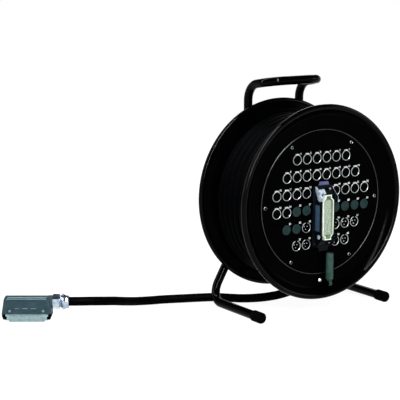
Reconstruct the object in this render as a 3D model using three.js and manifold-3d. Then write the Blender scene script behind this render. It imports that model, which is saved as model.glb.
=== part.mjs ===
// Multicore cable drum: a wound cord on a steel drum that turns on a bent tube stand.
// The drum's front flange carries a panel of round audio connectors, a multi-pole connector
// with two locking levers and a folding crank. The cord's free end carries a multi-pole hood.
// Millimetres, +Z up, the drum's axis along Y, the connector panel facing -Y.
import * as THREE from 'three';
import { mergeVertices } from 'three/addons/utils/BufferGeometryUtils.js';
import Module from 'manifold-3d';

const wasm = await Module();
wasm.setup();

// Fits and overruns
const clearance = 0.3;
const cutOverrun = 2;

// Facets of small round details and of rounded corners
const smallSides = 12;
const cornerSteps = 3;

// Drum and flanges
const openingMargin = 1.2;
const openingStep = 0.5;
const barrelWall = 2.5;
const barrelSeat = 3.5;
const drumInnerWidth = 158.6;
const groundGap = 32;
const flangeSheet = 2.5;
const dishMargin = 6;
const rimWidth = 27;
const beadRadius = 7;
const rimRise = 10.8;
const flangeSides = 48;
const barrelSides = 36;

// Axle, bushes and their seats
const axleRadius = 12.5;
const sleeveWall = 5;
const bushWall = 6;
const bushLength = 24;
const bushFlangeRadius = 25;
const bushFlangeThickness = 3;
const sleeveLength = 118;
const shoulderRadius = 18;
const nutAcross = 34;
const nutThickness = 11;
const axleTail = 3;
const hubSides = 18;

// Cord and winding
const cordDiameter = 22;
const innerLayersDepth = 31;
const windingGap = 0.5;
const windingStepsPerTurn = 24;
const windingSides = 6;
const exitAngle = -75;
const traverseSweep = 75;
const climbSweep = 60;
const exitSetback = 75;

// Connector panel
const panelLap = 27.5;
const panelThickness = 3;
const panelEdgeLip = 1.2;
const panelEdgeLipWidth = 2;
const columnPitch = 29.6;
const rowPitch = 42;
const gridRise = 4;
const holeRadius = 12;
const rimHeight = 0.8;
const socketRadius = 9.8;
const socketCoreRadius = 8;
const socketCoreRecess = 1;
const socketDepth = 10;
const connectorBodyWidth = 23;
const connectorBodyTopWidth = 14.8;
const connectorBodyLow = 13;
const connectorBodyShoulder = 8;
const connectorBodyTop = 17;
const connectorBodyDepth = 24;
const blankHeight = 1.4;
const connectorSides = 10;

// Push latches of the round connectors
const latchWidth = 11;
const latchHeight = 4;
const latchRise = 12.9;
const latchProud = 1.3;
const latchLength = 8.6;
const latchTravel = 1.5;

// Recessed pin connectors
const cupRadius = 11.7;
const cupWall = 2;
const cupDepth = 15;
const cupFloor = 4;
const keyWidth = 5;
const pinCircleRadius = 5.6;
const contactAngles = [30, 150, 270];
const contactPinRadius = 1.2;
const contactPinLength = 11.5;
const contactPinSides = 5;

// Multi-pole connector on the panel
const multipoleDrop = 34;
const screwInset = 8;
const screwRadius = 2.6;
const baseWidth = 57;
const baseHeight = 150;
const baseThickness = 4;
const baseCorner = 6;
const sealThickness = 1.5;
const housingWidth = 44;
const housingHeight = 122;
const housingReach = 27;
const housingWall = 4;
const housingCorner = 5;
const insertWidth = 32;
const insertSetIn = 5.5;
const insertHeight = housingHeight - 2 * insertSetIn;
const insertTabWidth = 19;
const insertTabReach = 7;
const insertProud = 2.6;
const insertNoseDepth = 9;
const insertWall = 2.6;
const insertWellDepth = 14;
const insertTail = 22;
const polePinRadius = 0.9;
const polePinLength = 9;
const polePinSides = 3;
const poleColumns = 6;
const poleRows = 18;
const poleColumnPitch = 4.4;
const poleRowPitch = 4.6;

// Locking levers of the multi-pole connector
const pivotSetIn = 14;
const pivotDepth = 3;
const pivotRadius = 4;
const pivotHeadRadius = 5.5;
const pivotHeadHeight = 1;
const pegSides = 8;
const recessDepth = 0.8;
const recessLength = 62;
const recessInset = 2;
const leverPlate = 1.6;
const leverLength = 28;
const leverLean = 17;
const leverEarRadius = 7.5;
const leverNoseLength = 13;
const leverNoseWidth = 7;
const leverArmWidth = 9;
const leverBridgeDepth = 5;
const bridgeOut = 16.4;
const leverCrossWidth = 6;
const leverGripDepth = 11;
const leverGripThickness = 4;
const leverGripRootWidth = 33;
const leverGripEndWidth = 25;

// Folding crank
const crankAxisBelowPanel = 25;
const crankPlateBelowPanel = 28;
const crankPlateCorner = 4;
const crankPlateThickness = 2.6;
const crankPlateHeight = 23;
const crankEarFootInset = 1;
const crankPlateSetIn = 7;
const crankBoltSide = 9;
const crankBoltRadius = 5.2;
const crankBoltHeight = 3.4;
const crankOffset = 20;
const crankAxisReach = 12.2;
const crankEarThickness = 3.5;
const crankEarRadius = 7;
const crankPinRadius = 3;
const knuckleRadius = 6.4;
const knuckleWidth = 9;
const knuckleRise = 10.2;
const spindleRadius = 4;
const gripRadius = 9.2;
const gripLength = 66;
const gripEndRound = 2.4;
const gripSides = 16;
const spindleHeadRadius = 6.4;
const spindleHeadHeight = 2.4;

// Bent tube stand
const tubeRadius = 11;
const tubeWall = 2;
const tubeSides = 12;
const tubeBoreSides = 6;
const bendStep = 22.5;
const uprightSpacing = 158;
const footSpacing = 382;
const tubeBehindRim = 17.3;
const splayBelowAxis = 62;
const gripAboveFlange = 50;
const gripRise = 17;
const gripReach = 102;
const handleBendRadius = 45;
const splayBendRadius = 80;
const footBendRadius = 50;
const footDip = 0.4;

// Rubber foot caps
const capWall = 2.5;
const capLength = 34;
const capFloorThickness = 3.5;
const capRound = 3;
const capSides = 16;
const capFront = -26;
const capSoleCut = 0.8;

// Hub bracket and brake
const bracketHeight = 162;
const bracketWeb = 5;
const bracketLip = 16;
const bossRadius = 25;
const bossLength = 24;
const brakeOffset = 52;
const brakeSpindleRadius = 5;
const brakePadRadius = 13;
const brakePadThickness = 6;
const brakePadGap = 0.6;
const brakeBossRadius = 10;
const brakeBossLength = 8;
const brakeKnobRadius = 20;
const brakeKnobThickness = 14;
const brakeLobes = 5;
const stepsPerLobe = 5;
const brakeLobeDepthShare = 0.14;

// Multi-pole hood and gland on the cord's free end
const hoodX = -647.7;
const hoodSetback = 303.8;
const hoodTurn = -32.2;
const hoodLength = 120;
const hoodTopLength = 108;
const hoodWidth = 43;
const hoodBase = 20;
const hoodTop = 56;
const hoodWall = 3;
const hoodEdgeRound = 3;
const hoodPanelInset = 14;
const hoodPanelRise = 0.9;
const hoodPegRadius = 3.2;
const hoodPegReach = 3;
const hoodPegHeight = 28;
const hoodPegSetIn = 20;
const hoodInsertTopLength = 98;
const hoodInsertLength = 84;
const hoodInsertWidth = 34;
const hoodRibWidth = 2.6;
const hoodRibDepth = 1.6;
const hoodRibCount = 9;
const hoodGuideLength = 11;
const hoodGuideWidth = 36;
const hoodGuideBase = 4;
const hoodInsertSeat = 10;
const glandHeight = 46;
const glandNeckRadius = 12.5;
const glandBossRadius = 15;
const glandBossReach = 1.5;
const glandHexAcross = 32;
const glandHexLength = 17.2;
const glandThreadRadius = 13.6;
const glandThreadLength = 12;
const glandNutRadius = 20;
const glandNutEndRadius = 15.5;
const glandNutWaistRadius = 17;
const glandNutLength = 19.5;
const nutFlareShare = 0.34;
const nutWaistShare = 0.72;
const glandGap = 1.9;
const glandSides = 18;

// The free cord's route, from the drum to the gland, in the stand's own frame
const cordSides = 10;
const cordSteps = 24;
const cordRoute = [
  [-10, 75.8, 42.2],
  [-34, 79, 35.8],
  [-58, 87, 29.5],
  [-82, 103, 23.5],
  [-105, 127, 18],
  [-126, 155, 13.8],
  [-147, 184, 11.8],
  [-172, 208.5, 11.6],
  [-204, 224, 11.6],
  [-248, 241, 11.6],
  [-292, 258, 11.6],
  [-330, 267, 12],
  [-366, 264.5, 15.8],
  [-400, 251, 23.2],
  [-430, 236.5, 31],
  [-457, 226.5, 37.5],
  [-485, 222.5, 42],
  [-514, 226.5, 45],
];

// Places of the round connectors, in rows from the top
const rowLayout = [
  { row: 1, sockets: [3, 4, 5, 6, 7, 8], pins: [], blanks: [] },
  { row: 2, sockets: [2, 3, 4, 5, 6, 7, 8, 9], pins: [], blanks: [] },
  { row: 3, sockets: [1, 2, 3, 4, 7, 8, 9, 10], pins: [], blanks: [] },
  { row: 4, sockets: [1, 2], pins: [], blanks: [3, 4, 7, 8, 9, 10] },
  { row: 5, sockets: [], pins: [4, 7, 8, 9], blanks: [2, 3] },
  { row: 6, sockets: [], pins: [3, 4, 7, 8], blanks: [] },
];
const columnX = (column) => (column - 5.5) * columnPitch;
const rowZ = (row) => gridRise + (3.5 - row) * rowPitch;
const placesOf = (kind) => rowLayout.flatMap((line) =>
  line[kind].map((column) => ({ x: columnX(column), z: rowZ(line.row) })));
const socketPlaces = placesOf('sockets');
const pinPlaces = placesOf('pins');
const blankPlaces = placesOf('blanks');
const bodyCorners = [
  [connectorBodyWidth / 2, -connectorBodyLow],
  [connectorBodyWidth / 2, connectorBodyShoulder],
  [connectorBodyTopWidth / 2, connectorBodyTop],
];
const farthestCorner = Math.max(...socketPlaces.flatMap(({ x, z }) =>
  bodyCorners.map(([side, rise]) => Math.hypot(Math.abs(x) + side, z + rise))));

// Radii and heights, worked out from the sizes above: the front opening clears every connector body
const cordRadius = cordDiameter / 2;
const frontOpeningRadius = Math.ceil((farthestCorner + openingMargin) / openingStep) * openingStep;
const barrelRadius = frontOpeningRadius + barrelSeat;
const windingRadius = barrelRadius + innerLayersDepth + cordRadius;
const panelRadius = frontOpeningRadius + panelLap;
const crankRadius = panelRadius + crankAxisBelowPanel;
const crankPlateLow = panelRadius + crankPlateBelowPanel;
const flangeDishRadius = crankPlateLow + dishMargin;
const flangeRadius = flangeDishRadius + rimWidth;
const axisHeight = flangeRadius + groundGap;
const splayHeight = axisHeight - splayBelowAxis;
const gripHeight = axisHeight + flangeRadius + gripAboveFlange;
const shoulderHeight = gripHeight - gripRise;

// Places along the axis, worked out from the sizes above
const flangeFront = panelThickness + clearance;
const flangeBack = flangeFront + flangeSheet;
const rearFlangeFront = flangeBack + drumInnerWidth;
const rearFlangeBack = rearFlangeFront + flangeSheet;
const rimRear = rearFlangeBack + rimRise + beadRadius;
const standPlane = rimRear + tubeBehindRim;
const uprightSide = uprightSpacing / 2;
const footSide = footSpacing / 2;
const capRadius = tubeRadius + capWall;
const capDepth = 2 * capRadius;
const bossFront = standPlane - bossLength / 2;
const bossBack = standPlane + bossLength / 2;
const insertFront = -(housingReach + insertProud);
const frontMost = -(housingReach - pivotDepth) - leverNoseLength;
const brakeKnobFront = standPlane + bracketWeb / 2 + brakeBossLength + clearance;
const rearMost = brakeKnobFront + brakeKnobThickness;
const originShift = -(frontMost + rearMost) / 2;

// Colours and finishes
const finish = (color, roughness, metalness) => () =>
  new THREE.MeshStandardMaterial({ color, roughness, metalness });
const blackLacquer = finish(0x0b0b0c, 0.42, 0.25);
const blackPanel = finish(0x08090a, 0.5, 0.1);
const blackRubber = finish(0x0c0c0c, 0.85, 0);
const cordJacket = finish(0x11151a, 0.6, 0);
const blackShell = finish(0x131516, 0.45, 0.3);
const zincPlate = finish(0xb9c0c8, 0.32, 0.9);
const brightSteel = finish(0xccdff0, 0.25, 0.95);
const bronzeBush = finish(0x9a7b45, 0.45, 0.8);
const greyGrip = finish(0x3e534e, 0.5, 0);
const hoodBlue = finish(0x3f5d69, 0.48, 0.2);
const paleInsert = finish(0x93adb3, 0.55, 0);
const creamInsert = finish(0xb4c2a6, 0.5, 0);
const housingBlue = finish(0x36495b, 0.45, 0.3);
const leverBlue = finish(0x8d9fb8, 0.35, 0.7);
const nickel = finish(0xb4c7d8, 0.2, 0.95);

// A position-only, closed, outward-facing geometry without slivers of no area
function tidy(source) {
  const bare = source.clone();
  for (const name of Object.keys(bare.attributes)) {
    if (name !== 'position') bare.deleteAttribute(name);
  }
  const welded = mergeVertices(bare, 1e-4);
  const corners = welded.index.array;
  const place = welded.getAttribute('position');
  const kept = [];
  let volume = 0;
  const [a, b, c] = [new THREE.Vector3(), new THREE.Vector3(), new THREE.Vector3()];
  for (let i = 0; i < corners.length; i += 3) {
    const [p, q, r] = [corners[i], corners[i + 1], corners[i + 2]];
    if (p === q || q === r || r === p) continue;
    kept.push(p, q, r);
    a.fromBufferAttribute(place, p);
    b.fromBufferAttribute(place, q);
    c.fromBufferAttribute(place, r);
    volume += a.dot(b.cross(c));
  }
  welded.setIndex(volume < 0 ? kept.reverse() : kept);
  return welded;
}

function solidOf(source) {
  const welded = tidy(source);
  const vertProperties = new Float32Array(welded.getAttribute('position').array);
  const triVerts = new Uint32Array(welded.index.array);
  return new wasm.Manifold(new wasm.Mesh({ numProp: 3, vertProperties, triVerts }));
}

function geometryOf(solid) {
  const mesh = solid.getMesh();
  const geometry = new THREE.BufferGeometry();
  geometry.setAttribute('position', new THREE.BufferAttribute(new Float32Array(mesh.vertProperties), 3));
  geometry.setIndex(new THREE.BufferAttribute(new Uint32Array(mesh.triVerts), 1));
  return geometry;
}

const joined = (solids) => solids.reduce((whole, next) => whole.add(next));
const carved = (solid, tools) => tools.reduce((whole, next) => whole.subtract(next), solid);

// Basic forms
function block(sizeX, sizeY, sizeZ, x = 0, y = 0, z = 0) {
  return new THREE.BoxGeometry(sizeX, sizeY, sizeZ).translate(x, y, z);
}

function polygon(radius, sides, turn = 0) {
  const points = [];
  for (let i = 0; i < sides; i += 1) {
    const angle = turn + (i * 2 * Math.PI) / sides;
    points.push(new THREE.Vector2(radius * Math.cos(angle), radius * Math.sin(angle)));
  }
  return points;
}

// A profile of [radius, place along Y] pairs turned about Y
function turned(profile, sides, turn = 0) {
  const outline = profile.map(([radius, along]) => new THREE.Vector2(radius, along));
  const closesOnAxis = outline[0].x === 0 && outline.at(-1).x === 0;
  if (!closesOnAxis) outline.push(outline[0].clone());
  return new THREE.LatheGeometry(outline, sides, turn);
}

const rod = (radius, from, to, sides) => turned([[0, from], [radius, from], [radius, to], [0, to]], sides);

// A shape drawn in X and Z, given a thickness along Y from its front face backwards
function slab(shape, front, thickness) {
  const geometry = new THREE.ExtrudeGeometry(shape, { depth: thickness, bevelEnabled: false, curveSegments: cornerSteps });
  return geometry.rotateX(Math.PI / 2).translate(0, front + thickness, 0);
}

// A shape drawn in Y and Z, given a width along X about its middle
function bar(shape, width) {
  const geometry = new THREE.ExtrudeGeometry(shape, { depth: width, bevelEnabled: false, curveSegments: cornerSteps });
  const turn = new THREE.Matrix4().makeBasis(
    new THREE.Vector3(0, 1, 0), new THREE.Vector3(0, 0, 1), new THREE.Vector3(1, 0, 0),
  );
  return geometry.applyMatrix4(turn).translate(-width / 2, 0, 0);
}

function roundedOutline(width, height, corner, PathType = THREE.Shape) {
  const [halfWidth, halfHeight] = [width / 2, height / 2];
  const outline = new PathType();
  outline.moveTo(halfWidth, -halfHeight + corner);
  outline.lineTo(halfWidth, halfHeight - corner);
  outline.absarc(halfWidth - corner, halfHeight - corner, corner, 0, Math.PI / 2);
  outline.absarc(-halfWidth + corner, halfHeight - corner, corner, Math.PI / 2, Math.PI);
  outline.absarc(-halfWidth + corner, -halfHeight + corner, corner, Math.PI, 1.5 * Math.PI);
  outline.absarc(halfWidth - corner, -halfHeight + corner, corner, 1.5 * Math.PI, 2 * Math.PI);
  outline.closePath();
  return outline;
}

// A path that an extrusion follows station by station: close in the bends, bare on the straights
class StationPath extends THREE.Curve {
  constructor(stations) {
    super();
    this.stations = stations;
  }

  place(u) {
    return this.stations[Math.round(u * (this.stations.length - 1))].clone();
  }

  getPointAt(u) {
    return this.place(u);
  }

  getSpacedPoints() {
    return this.stations.map((station) => station.clone());
  }

  getTangentAt(u) {
    const last = this.stations.length - 1;
    const here = Math.round(u * last);
    const ahead = this.stations[Math.min(here + 1, last)].clone();
    const behind = this.stations[Math.max(here - 1, 0)].clone();
    const forward = ahead.sub(this.stations[here]).normalize();
    const backward = this.stations[here].clone().sub(behind).normalize();
    return forward.add(backward).normalize();
  }
}

function tubeAlong(stations, shape) {
  const path = new StationPath(stations);
  return new THREE.ExtrudeGeometry(shape, { steps: stations.length - 1, extrudePath: path });
}

// Stations of a bent tube: each corner between two straights becomes an arc of its own radius
function bentStations(corners) {
  const stations = [corners[0].at];
  for (let i = 1; i < corners.length - 1; i += 1) {
    const corner = corners[i];
    const back = corners[i - 1].at.clone().sub(corner.at).normalize();
    const on = corners[i + 1].at.clone().sub(corner.at).normalize();
    const halfOpening = back.angleTo(on) / 2;
    const middle = back.clone().add(on).normalize();
    const centre = corner.at.clone().addScaledVector(middle, corner.radius / Math.sin(halfOpening));
    const sideways = back.clone().sub(on).normalize();
    const sweep = Math.PI / 2 - halfOpening;
    const steps = Math.ceil(THREE.MathUtils.radToDeg(2 * sweep) / bendStep);
    for (let step = 0; step <= steps; step += 1) {
      const angle = sweep * (1 - (2 * step) / steps);
      const arm = middle.clone().multiplyScalar(-Math.cos(angle)).addScaledVector(sideways, Math.sin(angle));
      stations.push(centre.clone().addScaledVector(arm, corner.radius));
    }
  }
  stations.push(corners.at(-1).at);
  return stations;
}

// Flanges: a flat sheet that rises at its edge into a rolled bead
function flangeProfile(innerRadius) {
  const beadCentre = flangeRadius - beadRadius;
  const beadHeight = flangeSheet + rimRise;
  const profile = [
    [innerRadius, 0],
    [flangeDishRadius, 0],
  ];
  for (let degrees = -120; degrees <= 160; degrees += 70) {
    const angle = THREE.MathUtils.degToRad(degrees);
    profile.push([beadCentre + beadRadius * Math.cos(angle), beadHeight + beadRadius * Math.sin(angle)]);
  }
  profile.push([flangeDishRadius - flangeSheet, flangeSheet], [innerRadius, flangeSheet]);
  return profile;
}

function frontFlange() {
  const profile = flangeProfile(frontOpeningRadius).map(([radius, out]) => [radius, flangeBack - out]);
  return turned(profile, flangeSides);
}

function rearFlange() {
  const opening = bushFlangeRadius + bushWall;
  const profile = flangeProfile(opening).map(([radius, out]) => [radius, rearFlangeFront + out]);
  return turned(profile, flangeSides);
}

// Drum core: the barrel, its rear web and the hub sleeve in one turning
const coreFront = flangeBack + clearance;
const coreRear = rearFlangeFront - clearance;
const sleeveBore = axleRadius + clearance + bushWall + clearance;
const sleeveFront = coreRear - sleeveLength;

function drumCore() {
  const webFront = coreRear - barrelWall;
  return turned([
    [barrelRadius, coreFront],
    [barrelRadius, coreRear],
    [sleeveBore, coreRear],
    [sleeveBore, sleeveFront],
    [sleeveBore + sleeveWall, sleeveFront],
    [sleeveBore + sleeveWall, webFront],
    [barrelRadius - barrelWall, webFront],
    [barrelRadius - barrelWall, coreFront],
  ], barrelSides);
}

// A flanged bush seated in one end of the sleeve; "outward" is the way its flange looks along Y
function bush(seat, outward) {
  const bore = axleRadius + clearance;
  const skin = bore + bushWall;
  const face = seat + outward * clearance;
  return turned([
    [bore, face + outward * bushFlangeThickness],
    [bore, face - outward * bushLength],
    [skin, face - outward * bushLength],
    [skin, face],
    [bushFlangeRadius, face],
    [bushFlangeRadius, face + outward * bushFlangeThickness],
  ], hubSides);
}

// The axle is fixed in the hub bracket: a shoulder spaces the drum from the bracket's boss
const rearBushFace = coreRear + clearance + bushFlangeThickness;
const frontBushFace = sleeveFront - clearance - bushFlangeThickness;

function axle() {
  const shoulderFront = rearBushFace + clearance;
  const shoulderRear = bossFront - clearance;
  const rearEnd = bossBack + axleTail;
  const frontEnd = frontBushFace - clearance - nutThickness;
  return turned([
    [0, frontEnd],
    [axleRadius, frontEnd],
    [axleRadius, shoulderFront],
    [shoulderRadius, shoulderFront],
    [shoulderRadius, shoulderRear],
    [axleRadius, shoulderRear],
    [axleRadius, rearEnd],
    [0, rearEnd],
  ], hubSides);
}

function nut(front) {
  const outline = new THREE.Shape(polygon(nutAcross / 2 / Math.cos(Math.PI / 6), 6));
  outline.holes.push(new THREE.Path(polygon(axleRadius + clearance, hubSides)));
  return slab(outline, front, nutThickness);
}

// Winding: the outer layer as one helix over the plain inner layers, then a climb onto the
// layer and a traverse on top of it to the place where the cord leaves the drum
const windingFront = flangeBack + clearance + cordRadius;
const windingRear = rearFlangeFront - clearance - cordRadius;
const stepSweep = 360 / windingStepsPerTurn;
const chordDip = Math.cos(Math.PI / windingStepsPerTurn);
const coreTopRadius = windingRadius * chordDip - cordRadius - clearance;
const raisedRadius = windingRadius + cordDiameter + windingGap;
const windingPitch = cordDiameter + windingGap;
const smooth = (share) => share * share * (3 - 2 * share);

function windingPlace(sweepLeft) {
  const helixSweep = Math.max(0, sweepLeft - traverseSweep - climbSweep / 2);
  const climbed = 1 - Math.min(1, Math.max(0, (sweepLeft - traverseSweep) / climbSweep));
  const traversed = 1 - Math.min(1, sweepLeft / traverseSweep);
  const radius = windingRadius + (raisedRadius - windingRadius) * smooth(climbed);
  const helixPlace = windingFront + (windingPitch * helixSweep) / 360;
  const along = helixPlace + (exitSetback - windingFront) * smooth(traversed);
  const angle = THREE.MathUtils.degToRad(exitAngle + sweepLeft);
  return new THREE.Vector3(radius * Math.cos(angle), along, radius * Math.sin(angle));
}

function windingStations() {
  const helixTurns = (windingRear - windingFront) / windingPitch;
  const steps = Math.floor((helixTurns * 360 + traverseSweep + climbSweep / 2) / stepSweep);
  const stations = [];
  for (let step = steps; step >= 0; step -= 1) stations.push(windingPlace(step * stepSweep));
  const endRun = (end, radiusShare) => {
    const heading = new THREE.Vector3(end.z, 0, -end.x).normalize();
    return end.clone().addScaledVector(heading, radiusShare * cordDiameter);
  };
  return [endRun(stations[0], -1), ...stations, endRun(stations.at(-1), 1)];
}

function leastGapToItself(stations) {
  let least = Infinity;
  const apart = windingStepsPerTurn / 2;
  for (let i = 0; i < stations.length; i += 1) {
    for (let j = i + apart; j < stations.length; j += 1) {
      least = Math.min(least, stations[i].distanceTo(stations[j]));
    }
  }
  return least - cordDiameter;
}

function cableWinding() {
  const stations = windingStations();
  console.log(`least gap of the winding to itself: ${leastGapToItself(stations).toFixed(2)} mm`);
  return tubeAlong(stations, new THREE.Shape(polygon(cordRadius, windingSides)));
}

function cableCore() {
  const [front, rear] = [flangeBack + clearance, rearFlangeFront - clearance];
  const bore = (barrelRadius + clearance) / Math.cos(Math.PI / barrelSides);
  return turned([[bore, front], [coreTopRadius, front], [coreTopRadius, rear], [bore, rear]], barrelSides);
}

// Connector panel
const shifted = (solid, { x, z }) => solid.translate([x, 0, z]);

function socketBody() {
  const rim = rod(holeRadius, -rimHeight, panelThickness, connectorSides);
  const [half, topHalf] = [connectorBodyWidth / 2, connectorBodyTopWidth / 2];
  const outline = new THREE.Shape();
  outline.moveTo(-half, -connectorBodyLow);
  outline.lineTo(half, -connectorBodyLow);
  outline.lineTo(half, connectorBodyShoulder);
  outline.lineTo(topHalf, connectorBodyTop);
  outline.lineTo(-topHalf, connectorBodyTop);
  outline.lineTo(-half, connectorBodyShoulder);
  outline.closePath();
  const body = slab(outline, panelThickness / 2, connectorBodyDepth - panelThickness / 2);
  return joined([rim, body].map(solidOf));
}

function socketTool() {
  const groove = turned([
    [0, -cutOverrun],
    [socketRadius, -cutOverrun],
    [socketRadius, socketDepth],
    [socketCoreRadius, socketDepth],
    [socketCoreRadius, socketCoreRecess],
    [0, socketCoreRecess],
  ], connectorSides);
  const pocketDepth = latchLength - latchProud + latchTravel + clearance;
  const pocket = block(
    latchWidth + 2 * clearance, pocketDepth + cutOverrun, latchHeight + 2 * clearance,
    0, (pocketDepth - cutOverrun) / 2, latchRise,
  );
  return joined([groove, pocket].map(solidOf));
}

function connectorPanel() {
  const ringInside = panelRadius - panelEdgeLipWidth;
  const plate = solidOf(turned([
    [0, 0],
    [ringInside, 0],
    [ringInside, -panelEdgeLip],
    [panelRadius, -panelEdgeLip],
    [panelRadius, panelThickness],
    [0, panelThickness],
  ], flangeSides));
  const socket = socketBody();
  const blank = solidOf(rod(holeRadius, -blankHeight, panelThickness, connectorSides));
  const tool = socketTool();
  const cupHole = solidOf(rod(cupRadius + clearance, -cutOverrun, panelThickness + cutOverrun, connectorSides));
  const well = solidOf(block(
    insertWidth + 2 * clearance, panelThickness + 2 * cutOverrun, insertHeight + 2 * clearance,
    0, panelThickness / 2, -multipoleDrop,
  ));
  const whole = joined([
    plate,
    ...socketPlaces.map((place) => shifted(socket, place)),
    ...blankPlaces.map((place) => shifted(blank, place)),
  ]);
  return geometryOf(carved(whole, [
    ...socketPlaces.map((place) => shifted(tool, place)),
    ...pinPlaces.map((place) => shifted(cupHole, place)),
    well,
  ]));
}

function pushLatch() {
  const lead = latchHeight / 4;
  const side = new THREE.Shape();
  side.moveTo(-latchProud, -latchHeight / 2);
  side.lineTo(latchLength - latchProud, -latchHeight / 2);
  side.lineTo(latchLength - latchProud, latchHeight / 2);
  side.lineTo(lead - latchProud, latchHeight / 2);
  side.lineTo(-latchProud, latchHeight / 2 - lead);
  side.closePath();
  return bar(side, latchWidth);
}

// A recessed connector: a cup with a key slot at the top and three pins standing on its floor
function pinCup() {
  const inside = cupRadius - cupWall;
  const cup = turned([
    [inside, -rimHeight],
    [cupRadius, -rimHeight],
    [cupRadius, cupDepth + cupFloor],
    [0, cupDepth + cupFloor],
    [0, cupDepth],
    [inside, cupDepth],
  ], connectorSides);
  const key = block(keyWidth, cupDepth, cupRadius, 0, 0, cupRadius + inside / 2);
  const pins = contactAngles.map((degrees) => {
    const angle = THREE.MathUtils.degToRad(degrees);
    const pin = rod(contactPinRadius, cupDepth - contactPinLength, cupDepth + cupFloor / 2, contactPinSides);
    return pin.translate(pinCircleRadius * Math.cos(angle), 0, pinCircleRadius * Math.sin(angle));
  });
  const hollow = carved(solidOf(cup), [solidOf(key)]);
  return geometryOf(joined([hollow, ...pins.map(solidOf)]));
}

// Multi-pole connector: seal, housing with a base flange, pin insert
const sealFront = -(clearance + sealThickness);
const baseFront = sealFront - clearance - baseThickness;
const wellWidth = insertWidth + 2 * clearance;
const wellHeight = insertHeight + 2 * clearance;
const pivotY = -(housingReach - pivotDepth);
const pivotSpan = housingHeight / 2 - pivotSetIn;

function wellTool(front, back) {
  return solidOf(block(wellWidth, back - front, wellHeight, 0, (front + back) / 2, 0));
}

function housingSeal() {
  const outline = roundedOutline(baseWidth, baseHeight, baseCorner);
  outline.holes.push(roundedOutline(wellWidth, wellHeight, clearance, THREE.Path));
  return slab(outline, sealFront, sealThickness);
}

function multipoleHousing() {
  const base = slab(roundedOutline(baseWidth, baseHeight, baseCorner), baseFront, baseThickness);
  const walls = slab(
    roundedOutline(housingWidth, housingHeight, housingCorner),
    -housingReach,
    housingReach + baseFront + baseThickness / 2,
  );
  const pegs = [-1, 1].flatMap((side) => [-1, 1].map((end) => {
    const wall = housingWidth / 2;
    const plateOut = wall + 2 * clearance + leverPlate;
    const peg = turned([
      [0, wall - housingWall / 2],
      [pivotRadius, wall - housingWall / 2],
      [pivotRadius, plateOut],
      [pivotHeadRadius, plateOut],
      [pivotHeadRadius, plateOut + pivotHeadHeight],
      [0, plateOut + pivotHeadHeight],
    ], pegSides);
    return peg.rotateZ(-side * Math.PI / 2).translate(0, pivotY, end * pivotSpan);
  }));
  const recessFront = pivotY + recessInset;
  const recesses = [-1, 1].map((side) => block(
    2 * recessDepth, baseFront - recessInset - recessFront, recessLength,
    side * housingWidth / 2, (baseFront - recessInset + recessFront) / 2, 0,
  ));
  const screwX = baseWidth / 2 - screwInset;
  const screwZ = baseHeight / 2 - screwInset;
  const screwHoles = [-1, 1].flatMap((side) => [-1, 1].map((end) =>
    rod(screwRadius, baseFront - cutOverrun, baseFront + baseThickness + cutOverrun, pegSides)
      .translate(side * screwX, 0, end * screwZ)));
  const whole = joined([base, walls, ...pegs].map(solidOf));
  const tools = [...recesses, ...screwHoles].map(solidOf);
  return geometryOf(carved(whole, [...tools, wellTool(-housingReach - cutOverrun, cutOverrun)]));
}

// The insert's nose: a straight middle whose 45 degree shoulders lead to a narrower tab at each end
function noseOutline(inset) {
  const [side, end, tab] = [insertWidth / 2 - inset, insertHeight / 2 - inset, insertTabWidth / 2 - inset];
  const tabRoot = insertHeight / 2 - insertTabReach - inset * (Math.SQRT2 - 1);
  const shoulder = tabRoot - (insertWidth - insertTabWidth) / 2;
  const outline = new THREE.Shape();
  outline.moveTo(side, -shoulder);
  outline.lineTo(side, shoulder);
  outline.lineTo(tab, tabRoot);
  outline.lineTo(tab, end);
  outline.lineTo(-tab, end);
  outline.lineTo(-tab, tabRoot);
  outline.lineTo(-side, shoulder);
  outline.lineTo(-side, -shoulder);
  outline.lineTo(-tab, -tabRoot);
  outline.lineTo(-tab, -end);
  outline.lineTo(tab, -end);
  outline.lineTo(tab, -tabRoot);
  outline.closePath();
  return outline;
}

function multipoleInsert() {
  const noseBack = insertFront + insertNoseDepth;
  const nose = slab(noseOutline(0), insertFront, insertNoseDepth);
  const bodyDepth = insertTail - noseBack + clearance;
  const body = block(insertWidth, bodyDepth, insertHeight, 0, insertTail - bodyDepth / 2, 0);
  const wellFloor = insertFront + insertWellDepth;
  const well = slab(noseOutline(insertWall), insertFront - cutOverrun, insertWellDepth + cutOverrun);
  const pins = [];
  for (let row = 0; row < poleRows; row += 1) {
    for (let column = 0; column < poleColumns; column += 1) {
      const x = (column - (poleColumns - 1) / 2) * poleColumnPitch;
      const z = (row - (poleRows - 1) / 2) * poleRowPitch;
      const pin = rod(polePinRadius, wellFloor - polePinLength, wellFloor + polePinRadius, polePinSides);
      pins.push(pin.translate(x, 0, z));
    }
  }
  const hollow = carved(joined([nose, body].map(solidOf)), [solidOf(well)]);
  return geometryOf(joined([hollow, ...pins.map(solidOf)]));
}

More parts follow.
